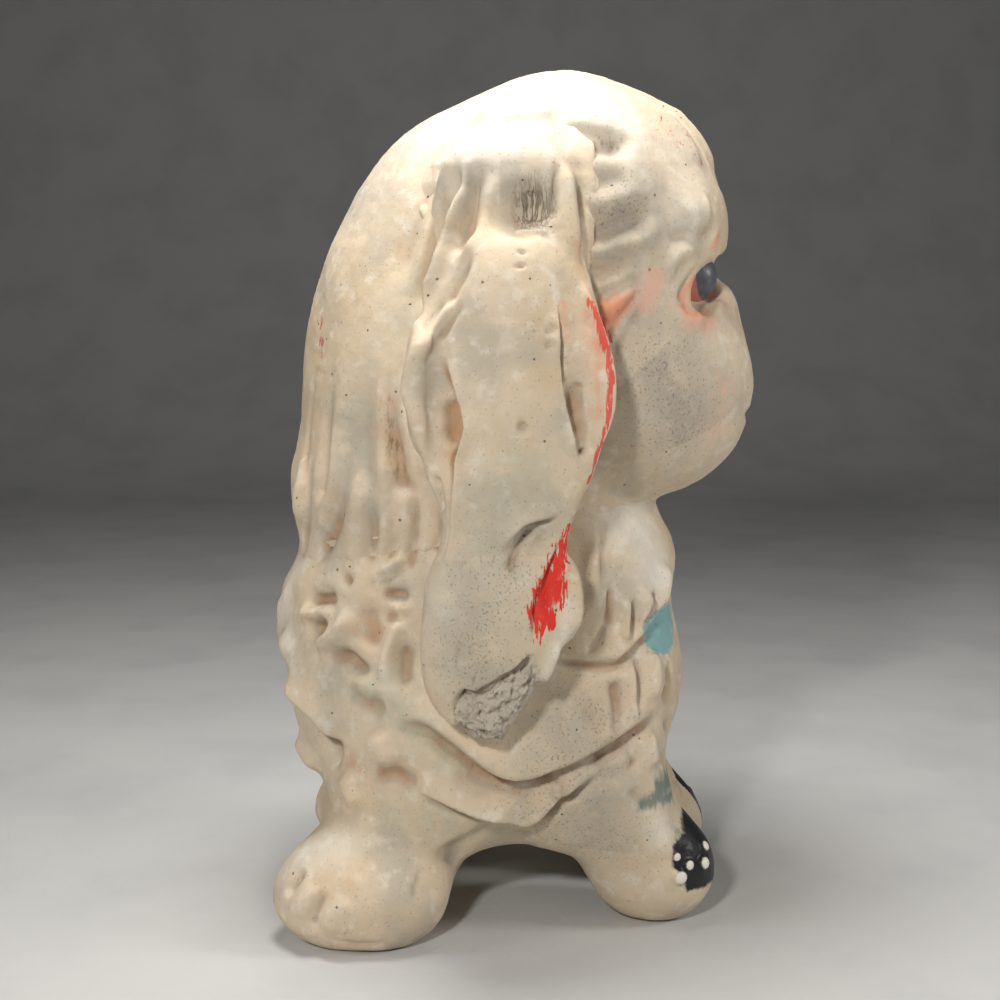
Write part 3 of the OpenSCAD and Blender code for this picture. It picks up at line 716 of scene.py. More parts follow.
# Ledges: the lower edges of the coat's tiers and of the lobe over the rump
TORSO_LEDGES = [
    (12.0, 6.5, 378, 730, 402, 722, 422, 722, 440, 732, 458, 746, 475, 759, 492, 771, 515, 775, 539, 769,
     560, 763, 590, 752, 616, 736, 634, 724, 651, 713, 668, 704),
    (8.0, 6.0, 404, 782, 430, 797, 467, 810, 500, 818, 527, 820, 544, 813, 556, 801, 573, 789, 590, 778,
     608, 766),
    (11.0, 4.0, 540, 655, 571, 657, 609, 661, 621, 654, 640, 634, 656, 612, 672, 596),
    (10.0, 6.0, 279, 655, 290, 680, 301, 698, 318, 715, 332, 732, 345, 744),
]
TORSO_FORMS = [
    # Tiers of the coat
    (2.2, -2.2, 450, 762, 480, 784, 520, 792, 552, 778, 590, 764),
    (9.0, 2.4, 450, 715, 500, 742, 550, 742, 600, 722, 650, 690),
    (3.0, 2.4, 549, 776, 570, 768, 592, 757), (2.0, -3.4, 556, 775, 558, 788, 555, 800),
    # The lobe over the rump and the tail below it
    (4.6, 4.2, 292, 704, 298, 724, 308, 746, 322, 768), (4.2, -5.0, 318, 726, 330, 748, 342, 762),
    (4.6, 3.6, 345, 770, 352, 792, 362, 808), (5.0, -4.0, 368, 775, 394, 778, 424, 794),
    (6.5, 4.2, 377, 729, 385, 748, 397, 768), (5.0, 2.6, 420, 734, 440, 756, 470, 778),
    # Curls behind the ear
    (5.5, 3.0, 292, 585, 286, 612, 286, 640, 296, 660), (2.8, -5.0, 306, 599, 321, 600, 336, 597),
    (2.6, 3.4, 300, 612, 316, 613, 334, 607), (2.8, -5.4, 307, 628, 317, 628, 328, 620),
    (3.4, 4.6, 316, 648, 328, 640, 342, 629, 351, 608),
    (3.0, -5.2, 326, 662, 344, 657, 356, 667, 372, 676), (5.0, -3.2, 366, 600, 370, 628, 366, 650),
    (2.2, -4.8, 381, 592, 396, 595, 410, 598), (2.2, 3.0, 386, 604, 400, 606, 400, 618),
    (3.0, -3.4, 392, 612, 394, 622), (3.0, 4.4, 402, 612, 396, 634, 388, 656, 386, 690),
    (3.4, -3.2, 408, 640, 404, 668, 406, 690), (4.0, -2.6, 345, 690, 366, 704, 390, 712),
    (4.0, 2.4, 352, 672, 368, 688, 378, 700),
    # Locks on the chest
    (1.8, -2.2, 603, 530, 602, 560, 606, 585), (3.4, 2.2, 596, 535, 594, 575, 590, 620),
    (1.8, -2.8, 612, 580, 610, 609, 604, 626), (0.9, -2.4, 608, 618, 594, 638, 580, 652),
    (2.4, 3.0, 625, 592, 620, 620, 616, 644), (2.4, -3.0, 634, 596, 630, 620, 624, 644),
    (2.6, 2.8, 646, 588, 640, 606, 632, 624), (2.0, -4.2, 655, 588, 647, 607, 636, 628),
    (4.0, 3.0, 662, 560, 662, 585, 652, 606), (3.6, 3.2, 601, 680, 598, 712, 593, 744),
    (4.0, -3.8, 614, 676, 613, 704, 606, 736), (3.4, 2.8, 628, 656, 628, 690, 620, 722),
    (2.4, -2.6, 636, 650, 637, 684, 630, 712), (3.4, 3.2, 650, 645, 653, 676, 646, 702),
    (2.2, -4.4, 668, 662, 670, 684, 662, 702), (5.0, 2.4, 566, 685, 564, 718, 558, 748),
    (4.0, 2.8, 598, 764, 618, 758, 640, 742), (2.6, -3.0, 627, 738, 632, 756, 638, 772),
    (3.4, 2.8, 645, 726, 650, 748, 654, 768), (2.4, -3.2, 666, 716, 668, 738, 662, 765),
    # Strands under the ear
    (4.0, -2.0, 455, 580, 450, 620, 452, 680), (4.0, -2.0, 500, 560, 506, 610, 498, 690),
    (4.0, -2.0, 548, 560, 552, 600, 545, 640),
    # Paws
    (1.7, -2.8, 286, 897, 294, 884, 305, 868), (2.2, -2.4, 312, 932, 316, 910, 326, 890),
    (1.8, -2.0, 421, 868, 418, 884, 416, 902), (4.4, 1.8, 302, 922, 305, 902, 314, 882),
    (4.4, 1.6, 330, 935, 336, 915, 346, 896), (1.8, -1.0, 356, 880, 362, 862, 372, 852),
    (1.6, -0.9, 330, 940, 360, 946, 392, 942), (6.0, -2.2, 452, 838, 456, 854, 450, 870),
    (12.0, -2.6, 478, 822, 505, 838, 540, 840), (3.0, -2.0, 628, 790, 640, 800, 648, 815),
    (6.0, 1.8, 650, 812, 662, 836, 668, 862),
]

HEAD_FORMS = [
    # The hollow above the ear
    (5.0, -5.4, 556, 133, 574, 139, 592, 142, 614, 143, 638, 145),
    (1.8, -1.8, 566, 126, 585, 127, 606, 132, 638, 143),
    # Hair swept back from the brow
    (5.0, -2.2, 586, 184, 606, 184, 630, 176), (6.0, 2.2, 582, 206, 612, 200, 650, 186),
    (5.5, -4.4, 582, 236, 600, 234, 624, 224, 652, 212),
    (5.5, 3.0, 582, 256, 606, 250, 640, 236, 664, 222),
    (4.6, -4.0, 584, 272, 600, 271, 616, 264, 640, 252), (5.0, 2.4, 592, 288, 618, 278, 645, 262),
    # The forked crease in front of the ear
    (2.2, -2.4, 588, 304, 610, 293, 633, 281, 648, 268), (4.0, 2.2, 600, 318, 618, 302, 640, 286),
    (1.3, -2.6, 603, 340, 617, 322, 628, 306, 648, 282),
    (2.0, -2.0, 610, 360, 622, 340, 634, 322, 648, 304),
    # Brow and lids
    (7.0, 2.4, 684, 224, 698, 214, 712, 216), (4.0, -2.4, 664, 240, 684, 236, 702, 236, 716, 244),
    (3.4, 2.2, 664, 286, 670, 264, 684, 250, 702, 246),
    (1.5, -2.0, 681, 306, 683, 292, 691, 278, 704, 262),
    (3.4, 1.8, 676, 300, 678, 314, 692, 320, 708, 316),
]

MANE_FORMS = [
    (1.8, -1.2, 318, 350, 309, 420, 303, 480),
    (3.4, -3.0, 337, 330, 330, 400, 327, 452, 325, 482, 319, 510),
    (4.0, 2.8, 346, 340, 336, 410, 333, 460, 329, 490, 316, 530),
    (7.0, -2.4, 370, 340, 365, 420, 362, 500), (5.0, 2.4, 384, 350, 383, 420, 384, 500),
    (3.8, -3.8, 391, 350, 392, 420, 400, 465, 410, 500), (4.4, 2.6, 408, 350, 411, 430, 418, 490),
    (3.0, -2.6, 312, 440, 306, 500, 303, 560), (4.0, 2.4, 302, 450, 299, 510, 292, 565),
    (3.8, -4.2, 350, 430, 340, 500, 330, 532, 316, 558),
    (5.0, 2.2, 358, 430, 355, 510, 354, 540, 350, 570),
    (2.4, -3.4, 368, 450, 371, 510, 374, 536, 370, 570),
    (4.2, 1.9, 384, 420, 384, 510, 382, 540, 376, 570),
    (2.6, -2.4, 394, 470, 397, 530, 394, 550, 386, 566),
    (4.0, 1.8, 404, 420, 406, 510, 404, 545, 396, 580),
    (2.4, -2.8, 414, 440, 416, 500, 414, 540, 406, 580), (1.8, 2.6, 361, 582, 384, 571, 408, 555),
    (1.6, -2.0, 365, 592, 384, 583, 404, 571), (1.8, -3.2, 336, 574, 345, 578, 350, 586),
    (2.0, -2.0, 436, 495, 442, 525, 436, 560),
]

ROOT_FORMS = [
    (5.0, -2.2, 446, 160, 430, 196, 412, 240, 400, 290),
    (4.0, 2.2, 456, 150, 440, 190, 424, 240, 412, 300),
    (3.6, -4.6, 455, 160, 452, 190, 446, 220, 438, 255, 430, 285, 418, 325),
    (2.4, 3.6, 466, 152, 461, 190, 455, 215, 448, 240, 440, 268, 430, 295, 420, 330),
    (4.6, -5.6, 472, 158, 472, 195, 467, 225, 456, 258),
    (3.6, 2.6, 488, 170, 484, 205, 474, 240, 462, 270), (2.6, -2.2, 474, 245, 458, 280, 444, 310),
    (1.6, -2.6, 559, 160, 556, 190, 552, 226), (1.4, 1.8, 514, 232, 532, 235, 551, 232),
    (3.6, 3.0, 562, 160, 567, 190, 570, 225, 576, 262),
    (2.2, -2.8, 575, 175, 580, 205, 582, 240, 588, 275),
]

# Ledges: the rear edge, the flute and the folds of the lower lobe
EAR_LEDGES = [
    (4.0, 4.2, 440, 352, 451, 374, 463, 402, 469, 426, 465, 444, 457, 460, 456, 490, 451, 536, 440, 566),
    (3.6, 3.0, 584, 470, 574, 440, 564, 405, 559, 370, 558, 335, 558, 296),
    (4.0, 3.6, 504, 556, 512, 538, 524, 525, 540, 520, 562, 516),
    (3.5, 2.2, 531, 648, 532, 602, 546, 566, 562, 536),
]
EAR_FORMS = [
    # Rear edge
    (1.6, -1.4, 463, 300, 450, 322, 438, 342), (2.0, 1.4, 455, 296, 441, 320, 430, 340, 418, 360),
    (1.6, -1.4, 446, 296, 434, 318, 422, 340),
    (2.6, 3.0, 444, 308, 425, 336, 414, 362, 410, 391, 419, 421, 426, 446, 429, 467, 424, 498, 422, 536),
    (3.4, -2.6, 449, 396, 456, 420, 452, 448), (1.8, -3.2, 434, 474, 440, 512, 439, 540),
    # Flute along the front edge
    (3.6, -2.6, 568, 370, 575, 410, 584, 440, 588, 466),
    (1.5, 2.2, 580, 272, 588, 300, 598, 330, 607, 360, 610, 392, 605, 426, 594, 466),
    # The lower lobe
    (1.8, -3.0, 508, 580, 514, 556, 526, 536, 540, 528), (1.6, -1.8, 524, 560, 534, 545, 548, 534),
    (3.0, 2.2, 566, 535, 573, 580, 576, 612, 566, 648), (2.0, 1.6, 558, 640, 552, 662, 536, 690),
    (0.9, -0.8, 426, 668, 450, 669), (1.0, -0.8, 461, 640, 458, 665),
    # Wrinkles and air holes
    (1.1, -1.3, 543, 332, 556, 328), (1.1, -1.1, 544, 347, 552, 344),
    (2.2, -2.2, 516, 426, 522, 427, 529, 425), (1.2, -2.0, 520, 264, 521, 268),
    (1.1, -1.5, 522, 250, 522, 254), (1.4, -2.2, 585, 449, 586, 456), (1.1, -1.6, 580, 383, 580, 388),
]

# Drawn from the front: x and z in mm
FACE_FORMS = [
    (1.6, -2.4, 0, 229, 0, 216, 0, 205), (1.8, -1.3, 0, 205, -12, 199, -26, 199, -38, 206),
    (1.5, -2.6, -4, 235, -7, 236, -9, 239), (2.5, -1.5, -12, 252, -10, 262, -8, 272),
    (3.0, 1.6, -5, 320, -7, 305, -6, 290), (2.0, -1.6, 0, 324, 0, 305, 0, 288),
    (2.2, -1.6, -14, 322, -17, 305, -18, 290), (3.5, 1.6, -23, 318, -27, 303, -30, 290),
]

# Outlines and lines in the picture, as x, y of each point
CHIP = [
    530, 655, 512, 673, 495, 682, 475, 694, 462, 693, 456, 702, 455, 740, 490, 752, 535, 735, 545, 690,
]
CRACK = [
    531, 655, 525, 666, 513, 674, 500, 680, 487, 691, 474, 695, 463, 693, 455, 706, 456, 722,
]
RED_FLUTE = [
    570, 528, 556, 546, 534, 590, 531, 606, 533, 626, 538, 642, 546, 631, 554, 624, 556, 606, 562, 606,
    565, 584, 566, 556,
]
# Drops of plaster between the toes: spot and radius
TOE_KNOBS = [((676, 857), 1.9), ((689, 865), 2.2), ((680, 877), 3.0), ((704, 846), 2.4), ((703, 863), 2.8)]
BLACK_PAW = [
    682, 808, 694, 808, 706, 820, 722, 838, 724, 876, 702, 887, 687, 892, 683, 876, 674, 868, 671, 846,
    684, 834, 682, 815,
]
SALMON_PATCH = [592, 300, 640, 290, 622, 318, 606, 337]
TEAL_PATCH = [
    670, 600, 654, 614, 643, 626, 645, 645, 656, 654, 668, 655, 674, 643, 673, 623,
]


# Materials


class Paint:
    """A procedural material that is built up in layers."""

    def __init__(self, name, colour, roughness):
        self.material = bpy.data.materials.new(name)
        self.material.use_nodes = True
        self.tree = self.material.node_tree
        self.shader = self.tree.nodes["Principled BSDF"]
        self.place = self.node("ShaderNodeTexCoord").outputs["Object"]
        self.colour = (*colour, 1.0)
        self.rough = roughness
        self.height = 0.0

    def node(self, kind, inputs=(), **settings):
        made = self.tree.nodes.new(kind)
        for key, value in settings.items():
            setattr(made, key, value)
        for socket, value in dict(inputs).items():
            self.set(made.inputs[socket], value)
        return made

    def set(self, socket, value):
        if isinstance(value, bpy.types.NodeSocket):
            self.tree.links.new(value, socket)
        else:
            socket.default_value = value

    def sum(self, kind, a, b, clamp=False):
        """Two values put together by a kind of arithmetic."""
        made = self.node("ShaderNodeMath", {0: a, 1: b}, operation=kind, use_clamp=clamp)
        return made.outputs[0]

    def times(self, a, b):
        return self.sum("MULTIPLY", a, b)

    def vary(self, base, noise, amount):
        """A factor made uneven by a noise, which lies about a half."""
        return self.sum("ADD", base, self.times(self.sum("SUBTRACT", noise, 0.5), amount))

    def step(self, value, low, high):
        """A smooth step from 0 at low to 1 at high."""
        inputs = {"Value": value, "From Min": low, "From Max": high}
        return self.node("ShaderNodeMapRange", inputs, interpolation_type="SMOOTHSTEP").outputs["Result"]

    def noise(self, size, detail=3.0, stretch=(1.0, 1.0, 1.0), shift=0.0, rough=0.55):
        """Noise with lumps about a size in mm, near 0.5; stretch lengthens them along an axis."""
        scale = tuple(1.0 / part for part in stretch)
        inputs = {"Vector": self.place, "Scale": scale, "Location": (shift, 2.0 * shift, 3.0 * shift)}
        vector = self.node("ShaderNodeMapping", inputs).outputs["Vector"]
        inputs = {"Vector": vector, "Scale": 1.0 / (size * MM), "Detail": detail, "Roughness": rough}
        return self.node("ShaderNodeTexNoise", inputs).outputs["Fac"]

    def spots(self, size, radius, shift, wobble):
        """Round spots on a random grid, one at their middles; radius is a share of the size."""
        inputs = {"Vector": self.place, "Location": (shift, shift, shift)}
        vector = self.node("ShaderNodeMapping", inputs).outputs["Vector"]
        inputs = {"Vector": vector, "Scale": 1.0 / (size * MM), "Randomness": 1.0}
        far = self.node("ShaderNodeTexVoronoi", inputs).outputs["Distance"]
        far = self.vary(far, self.noise(size * 0.3), wobble)
        return self.step(far, radius, radius * 0.45)

    def mask(self, name):
        return self.node("ShaderNodeAttribute", attribute_name=name).outputs["Fac"]

    def layer(self, colour, factor, amount=1.0):
        """Covers what is there with a colour, by a factor times an amount."""
        made = self.node("ShaderNodeMix", data_type="RGBA")
        self.set(made.inputs[0], self.times(factor, amount))
        self.set(made.inputs[6], self.colour)
        self.set(made.inputs[7], (*colour, 1.0))
        self.colour = made.outputs[2]

    def rougher(self, amount, factor):
        self.rough = self.sum("ADD", self.rough, self.times(factor, amount), clamp=True)

    def raise_by(self, amount, factor):
        """Adds relief: an amount in mm times a factor."""
        self.height = self.sum("ADD", self.height, self.times(factor, amount))

    def finish(self, specular):
        self.set(self.shader.inputs["Base Color"], self.colour)
        self.set(self.shader.inputs["Roughness"], self.rough)
        self.shader.inputs["Specular IOR Level"].default_value = specular
        inputs = {"Height": self.height, "Distance": MM, "Strength": 1.0}
        bump = self.node("ShaderNodeBump", inputs)
        self.set(self.shader.inputs["Normal"], bump.outputs["Normal"])
        return self.material


CREAM = (0.66, 0.545, 0.40)
YELLOWED = (0.58, 0.45, 0.29)
GREYED = (0.46, 0.41, 0.33)
GREENED = (0.38, 0.385, 0.28)
DULL = (0.36, 0.32, 0.265)
CHALK = (0.83, 0.79, 0.70)
# Dark brown: dirt, and painted shade in creases and hollows
DIRT_AND_SHADE = (0.20, 0.115, 0.055)
SPECK = (0.17, 0.15, 0.13)
RED = (0.72, 0.035, 0.02)
SALMON = (0.74, 0.30, 0.17)
PINK = (0.74, 0.42, 0.31)
TEAL = (0.19, 0.43, 0.45)
DARK_TEAL = (0.045, 0.13, 0.125)
BLACK = (0.012, 0.012, 0.014)
OCHRE = (0.55, 0.27, 0.10)
CLEAN_WHITE = (0.80, 0.76, 0.68)
BROKEN = (0.90, 0.80, 0.66)
BROKEN_DARK = (0.30, 0.225, 0.155)
BROKEN_PALE = (0.88, 0.81, 0.70)
EYE_BALL = (0.60, 0.52, 0.42)
EYE_RED = (0.60, 0.14, 0.09)
IRIS = (0.105, 0.115, 0.145)
EYE_WORN = (0.30, 0.31, 0.33)
PLUG = (0.50, 0.43, 0.33)
PLUG_PALE = (0.64, 0.58, 0.47)
PLUG_DARK = (0.27, 0.20, 0.13)
FLOOR = (0.60, 0.60, 0.59)
FLOOR_CLOUD = (0.55, 0.55, 0.55)

# Noise stretched along the height, where wear and brush run downwards
LONG = (1, 1, 1.8)
LONGER = (1, 1, 2.2)
STREAKS = (1, 1, 7)


def plaster(name):
    """Old painted plaster: yellowed and greyed in clouds, grimy and darkened with painted shade in its
    creases, rubbed pale in patches, with painted light and shade in masked patches.
    """
    p = Paint(name, CREAM, 0.60)
    clouds = p.noise(46, 3)
    mottle = p.noise(6.5, 5, shift=0.5)
    p.layer(YELLOWED, p.step(clouds, 0.44, 0.68), 0.75)
    p.layer(GREYED, p.step(p.noise(30, 4, shift=0.3), 0.47, 0.70), 0.75)
    p.layer(CHALK, p.step(mottle, 0.50, 0.72), 0.42)
    p.layer(YELLOWED, p.step(p.noise(11, 5, (1, 1, 2), 0.7), 0.54, 0.74), 0.5)

    hollow = p.mask("hollow")
    rubbed = p.step(p.vary(hollow, mottle, 0.8), -0.18, -0.75)
    patchy = p.vary(hollow, p.noise(7, 5, LONG, 0.9), 1.3)
    p.layer(CHALK, rubbed, 0.55)
    # Creases darkened by grime and painted shade: dull, then ochre, then dark brown, deepest in the hollows
    p.layer(DULL, p.step(hollow, 0.05, 0.60), 0.6)
    p.layer(OCHRE, p.step(patchy, 0.30, 0.85), 0.40)
    p.layer(DIRT_AND_SHADE, p.step(patchy, 0.60, 1.3), 0.62)
    # Paler plaster, and painted light on the top of the head, the ear caps, the brow, the chest, the back's
    # edge and the hind paw's top
    p.layer(CHALK, p.mask("pale"), p.sum("ADD", 0.35, p.times(mottle, 0.7)))
    p.layer(GREENED, p.mask("green"), p.step(mottle, 0.25, 0.65))
    # Greyer plaster, and painted shade in the recess under each ear's cap, in grooves, under the jowls and
    # down the front legs
    p.layer(DULL, p.mask("grey"), p.step(mottle, 0.10, 0.60))
    # Ochre: rust stains, and painted shade in grooves and the ear's rear hollow
    p.layer(OCHRE, p.times(p.mask("stain_and_shade"), p.step(p.noise(5, 5, shift=1.1), 0.30, 0.62)), 0.75)
    # Dark brown in the mane's groove and the hollow above the ear: grime and painted shade
    scuff = p.step(p.noise(2.2, 5, (1, 1, 2.6), 1.3), 0.50, 0.66)
    p.layer(DIRT_AND_SHADE, p.times(p.mask("grime_and_shade"), scuff), 0.8)

    # The dark grain of the cast skin, denser in some areas than others
    area = p.sum("ADD", p.times(p.mask("grainy"), 0.6), p.times(clouds, 0.5))
    grain = p.step(p.sum("ADD", p.noise(0.95, 2, shift=1.7), p.times(area, 0.16)), 0.66, 0.82)
    holes = p.spots(9.0, 0.062, 2.1, 0.05)
    p.layer(SPECK, grain, 0.55)
    p.layer(DIRT_AND_SHADE, holes, 0.85)

    # What is left of the cold paint
    worn = p.noise(2.6, 5, LONGER, 2.5)
    scratches = p.noise(1.1, 4, STREAKS, 2.9)
    p.layer(PINK, p.step(p.vary(p.mask("pink"), worn, 1.0), 0.15, 0.8), 0.8)
    p.layer(SALMON, p.step(p.vary(p.mask("salmon"), worn, 0.7), 0.08, 0.95))
    chipped = p.vary(p.vary(1.0, worn, 1.4), scratches, 3.0)
    present = p.step(p.sum("ADD", p.mask("red"), p.mask("teal")), 0.02, 0.15)
    chipped = p.sum("SUBTRACT", p.times(chipped, present), 1.0)
    red = p.step(p.sum("ADD", p.mask("red"), chipped), 0.34, 0.46)
    p.layer(RED, red)
    p.layer(TEAL, p.step(p.sum("ADD", p.mask("teal"), p.times(chipped, 0.4)), 0.30, 0.66), 0.88)
    p.layer(DARK_TEAL, p.step(p.vary(p.mask("smear"), worn, 1.4), 0.20, 0.85), 0.72)
    line = p.step(p.vary(p.mask("line"), scratches, 2.4), 0.25, 0.50)
    p.layer(RED, p.times(line, p.step(p.mask("line"), 0.02, 0.30)), 0.85)
    black = p.step(p.vary(p.mask("black"), worn, 0.7), 0.30, 0.62)
    p.layer(BLACK, black)
    p.layer(CLEAN_WHITE, p.step(p.mask("white"), 0.12, 0.35))

    # The broken tip of the ear
    bare = p.mask("bare")
    crumbs = p.noise(2.4, 6, shift=3.3, rough=0.75)
    p.layer(BROKEN, bare)
    p.layer(BROKEN_DARK, p.times(bare, p.step(crumbs, 0.45, 0.34)), 0.8)
    p.layer(BROKEN_PALE, p.times(bare, p.step(crumbs, 0.54, 0.62)), 0.8)
    p.layer(DIRT_AND_SHADE, p.step(p.mask("crack"), 0.45, 0.9), 0.7)

    p.rougher(0.22, p.step(p.noise(16, 4, shift=3.7), 0.40, 0.70))
    p.rougher(-0.16, rubbed)
    p.rougher(0.30, bare)
    p.rougher(-0.22, p.sum("MAXIMUM", red, black))
    p.raise_by(0.10, p.noise(1.3, 4, shift=4.1))
    p.raise_by(0.22, p.noise(5.0, 3, shift=4.3))
    p.raise_by(-0.10, grain)
    p.raise_by(-0.9, holes)
    p.raise_by(0.07, red)
    p.raise_by(3.2, p.times(bare, crumbs))
    p.raise_by(-1.4, p.times(p.mask("scratched"), p.step(scratches, 0.45, 0.60)))
    return p.finish(0.38)


def eye_enamel():
    """Cold paint on the eyeball: a pale ball, a dark iris and pupil, all rubbed and a little glossy."""
    p = Paint("painted_eye", EYE_BALL, 0.38)
    worn = p.noise(2.2, 5, shift=0.2)
    gaze = p.vary(p.mask("gaze"), worn, 0.02)
    p.layer(EYE_RED, p.step(gaze, 0.44, 0.32), 0.85)
    p.layer(IRIS, p.step(gaze, 0.215, 0.20))
    p.layer(EYE_WORN, p.step(p.noise(3, 4, (1, 1, 2), 0.8), 0.56, 0.7), 0.35)
    p.layer(DIRT_AND_SHADE, p.spots(2.4, 0.16, 0.4, 0.1), 0.6)
    p.rougher(0.25, p.step(worn, 0.5, 0.7))
    p.raise_by(0.12, p.noise(1.5, 4, shift=1.0))
    return p.finish(0.5)


def luting_plaster():
    """Rough plaster pressed into the pour hole, smeared with fingers."""
    p = Paint("luting_plaster", PLUG, 0.8)
    lumps = p.noise(5, 5)
    p.layer(PLUG_PALE, p.step(lumps, 0.48, 0.66))
    p.layer(PLUG_DARK, p.step(p.noise(9, 5, shift=0.4), 0.52, 0.7), 0.7)
    p.layer(SPECK, p.step(p.noise(1.0, 2, shift=0.8), 0.62, 0.75), 0.5)
    p.raise_by(1.0, lumps)
    p.raise_by(0.25, p.noise(1.2, 4, shift=1.2))
    return p.finish(0.3)


# The pieces


def make_head_and_torso(material):
    """Both skins take the strokes that cross the neck joint from the same ground.

    Gives back the head's clay, which the ears blend into.
    """
    clay = head_clay()
    head, torso = Skin(clay), Skin(torso_clay())
    head.ground, torso.ground = head.ground + torso.ground, torso.ground + head.ground
    dress_head(head, material)
    dress_torso(torso, material)
    return clay


# Bands of paint by their mask: width, strength, then x, y of each point of the path
HEAD_PAINT = {
    "pink": [
        (9.0, 0.7, 652, 268, 652, 290, 640, 310), (9.0, 0.9, 682, 304, 692, 316, 714, 320),
        (8.0, 0.5, 722, 292, 732, 312), (16.0, 0.42, 726, 372, 722, 412, 704, 448),
    ],
    "line": [
        (1.8, 0.8, 588, 296, 600, 318, 610, 342),
    ],
    "salmon": [
        (3.0, 0.75, 700, 270, 690, 284, 683, 300, 686, 312, 698, 314, 710, 310),
        (3.0, 0.7, 712, 250, 717, 240, 720, 232),
    ],
    # Painted shade in the hollow above the ear, before the ear, beside the eye and under the jowl, and
    # greyer plaster on the mane
    "grey": [
        (24.0, 0.9, 606, 190, 624, 220, 610, 260), (12.0, 0.5, 575, 145, 610, 148),
        (36.0, 0.85, 650, 360, 680, 400, 690, 440), (22.0, 0.8, 590, 170, 640, 200, 640, 250),
        (26.0, 0.6, 360, 420, 350, 480, 380, 520), (14.0, 0.5, 660, 240, 672, 270),
    ],
    # Stains, and painted shade down the mane's groove
    "stain_and_shade": [
        (5.0, 0.8, 398, 246, 402, 251), (9.0, 0.5, 388, 400, 392, 440, 400, 470),
    ],
    # Grime and painted shade in the mane's groove and the hollow above the ear
    "grime_and_shade": [
        (5.0, 1.0, 390, 400, 391, 430, 398, 455, 406, 482), (3.5, 0.7, 560, 134, 590, 142, 620, 147),
    ],
    "green": [
        (18.0, 0.55, 360, 400, 358, 460), (12.0, 0.35, 420, 250, 410, 300, 400, 340),
    ],
    # Painted light on the top of the head and on the brow
    "pale": [
        (40.0, 0.8, 420, 130, 540, 100, 640, 120), (14.0, 0.7, 670, 225, 700, 218),
    ],
    "teal": [
        (10.0, 0.30, 664, 118, 684, 138, 698, 166), (6.0, 0.26, 326, 312, 321, 340, 319, 370),
    ],
    "grainy": [
        (30.0, 1.0, 640, 350, 680, 400, 690, 440), (16.0, 1.0, 600, 215, 640, 200),
    ],
}


def dress_head(skin, material):
    skin.strokes(HEAD_FORMS)
    skin.strokes(MANE_FORMS, ends=MANE_ENDS)
    skin.strokes(ROOT_FORMS)
    skin.strokes(FACE_FORMS, view="front")
    skin.soften(STROKE_BLUR)
    skin.grain(11)
    skin.press()
    skin.mask("salmon", 0.9 * skin.patch(SALMON_PATCH, 13))
    skin.paint(HEAD_PAINT)
    build("head", skin, material, "head_casting")


TORSO_PAINT = {
    "teal": [
        (3.4, 0.6, 674, 567, 672, 604),
    ],
    "smear": [
        (8.0, 1.1, 677, 760, 668, 778, 654, 800), (5.0, 0.9, 640, 806, 656, 800, 672, 796),
        (5.0, 0.5, 692, 800, 682, 822, 676, 842),
    ],
    # Stains, and painted shade in grooves behind the ear and on the rump
    "stain_and_shade": [
        (9.0, 0.7, 350, 766, 362, 770), (12.0, 0.6, 378, 622, 374, 640), (10.0, 0.35, 320, 890, 352, 880),
    ],
    # Paler plaster, and painted light on the chest, the back's edge and the paws' tops
    "pale": [
        (20.0, 1.0, 612, 512, 645, 535, 662, 590), (12.0, 0.8, 300, 560, 285, 600, 290, 650),
        (12.0, 0.7, 300, 850, 350, 840), (10.0, 0.8, 655, 820, 665, 845), (6.0, 0.7, 388, 664, 388, 690),
    ],
    "green": [
        (12.0, 0.6, 352, 680, 400, 716, 450, 760), (9.0, 0.5, 415, 640, 410, 690),
        (12.0, 0.4, 380, 800, 440, 820, 500, 835),
    ],
    # Painted shade down the front legs, and greyer plaster at the rear
    "grey": [
        (30.0, 0.7, 560, 700, 600, 800, 600, 850), (24.0, 0.35, 300, 760, 340, 690, 330, 620),
    ],
    "grainy": [
        (40.0, 0.8, 600, 700, 560, 800, 600, 860),
    ],
}


def dress_torso(skin, material):
    skin.strokes(TORSO_LEDGES, ledge=True)
    skin.strokes(TORSO_FORMS)
    skin.strokes(MANE_FORMS, ends=MANE_ENDS)
    skin.soften(STROKE_BLUR)
    skin.grain(21)
    for spot, radius in TOE_KNOBS:
        skin.knob(spot, radius)
    skin.mask("black", skin.patch(BLACK_PAW, 9))
    skin.press()
    skin.mask("teal", 0.9 * skin.patch(TEAL_PATCH, 6))
    skin.paint(TORSO_PAINT)
    build("torso", skin, material, "torso_casting")


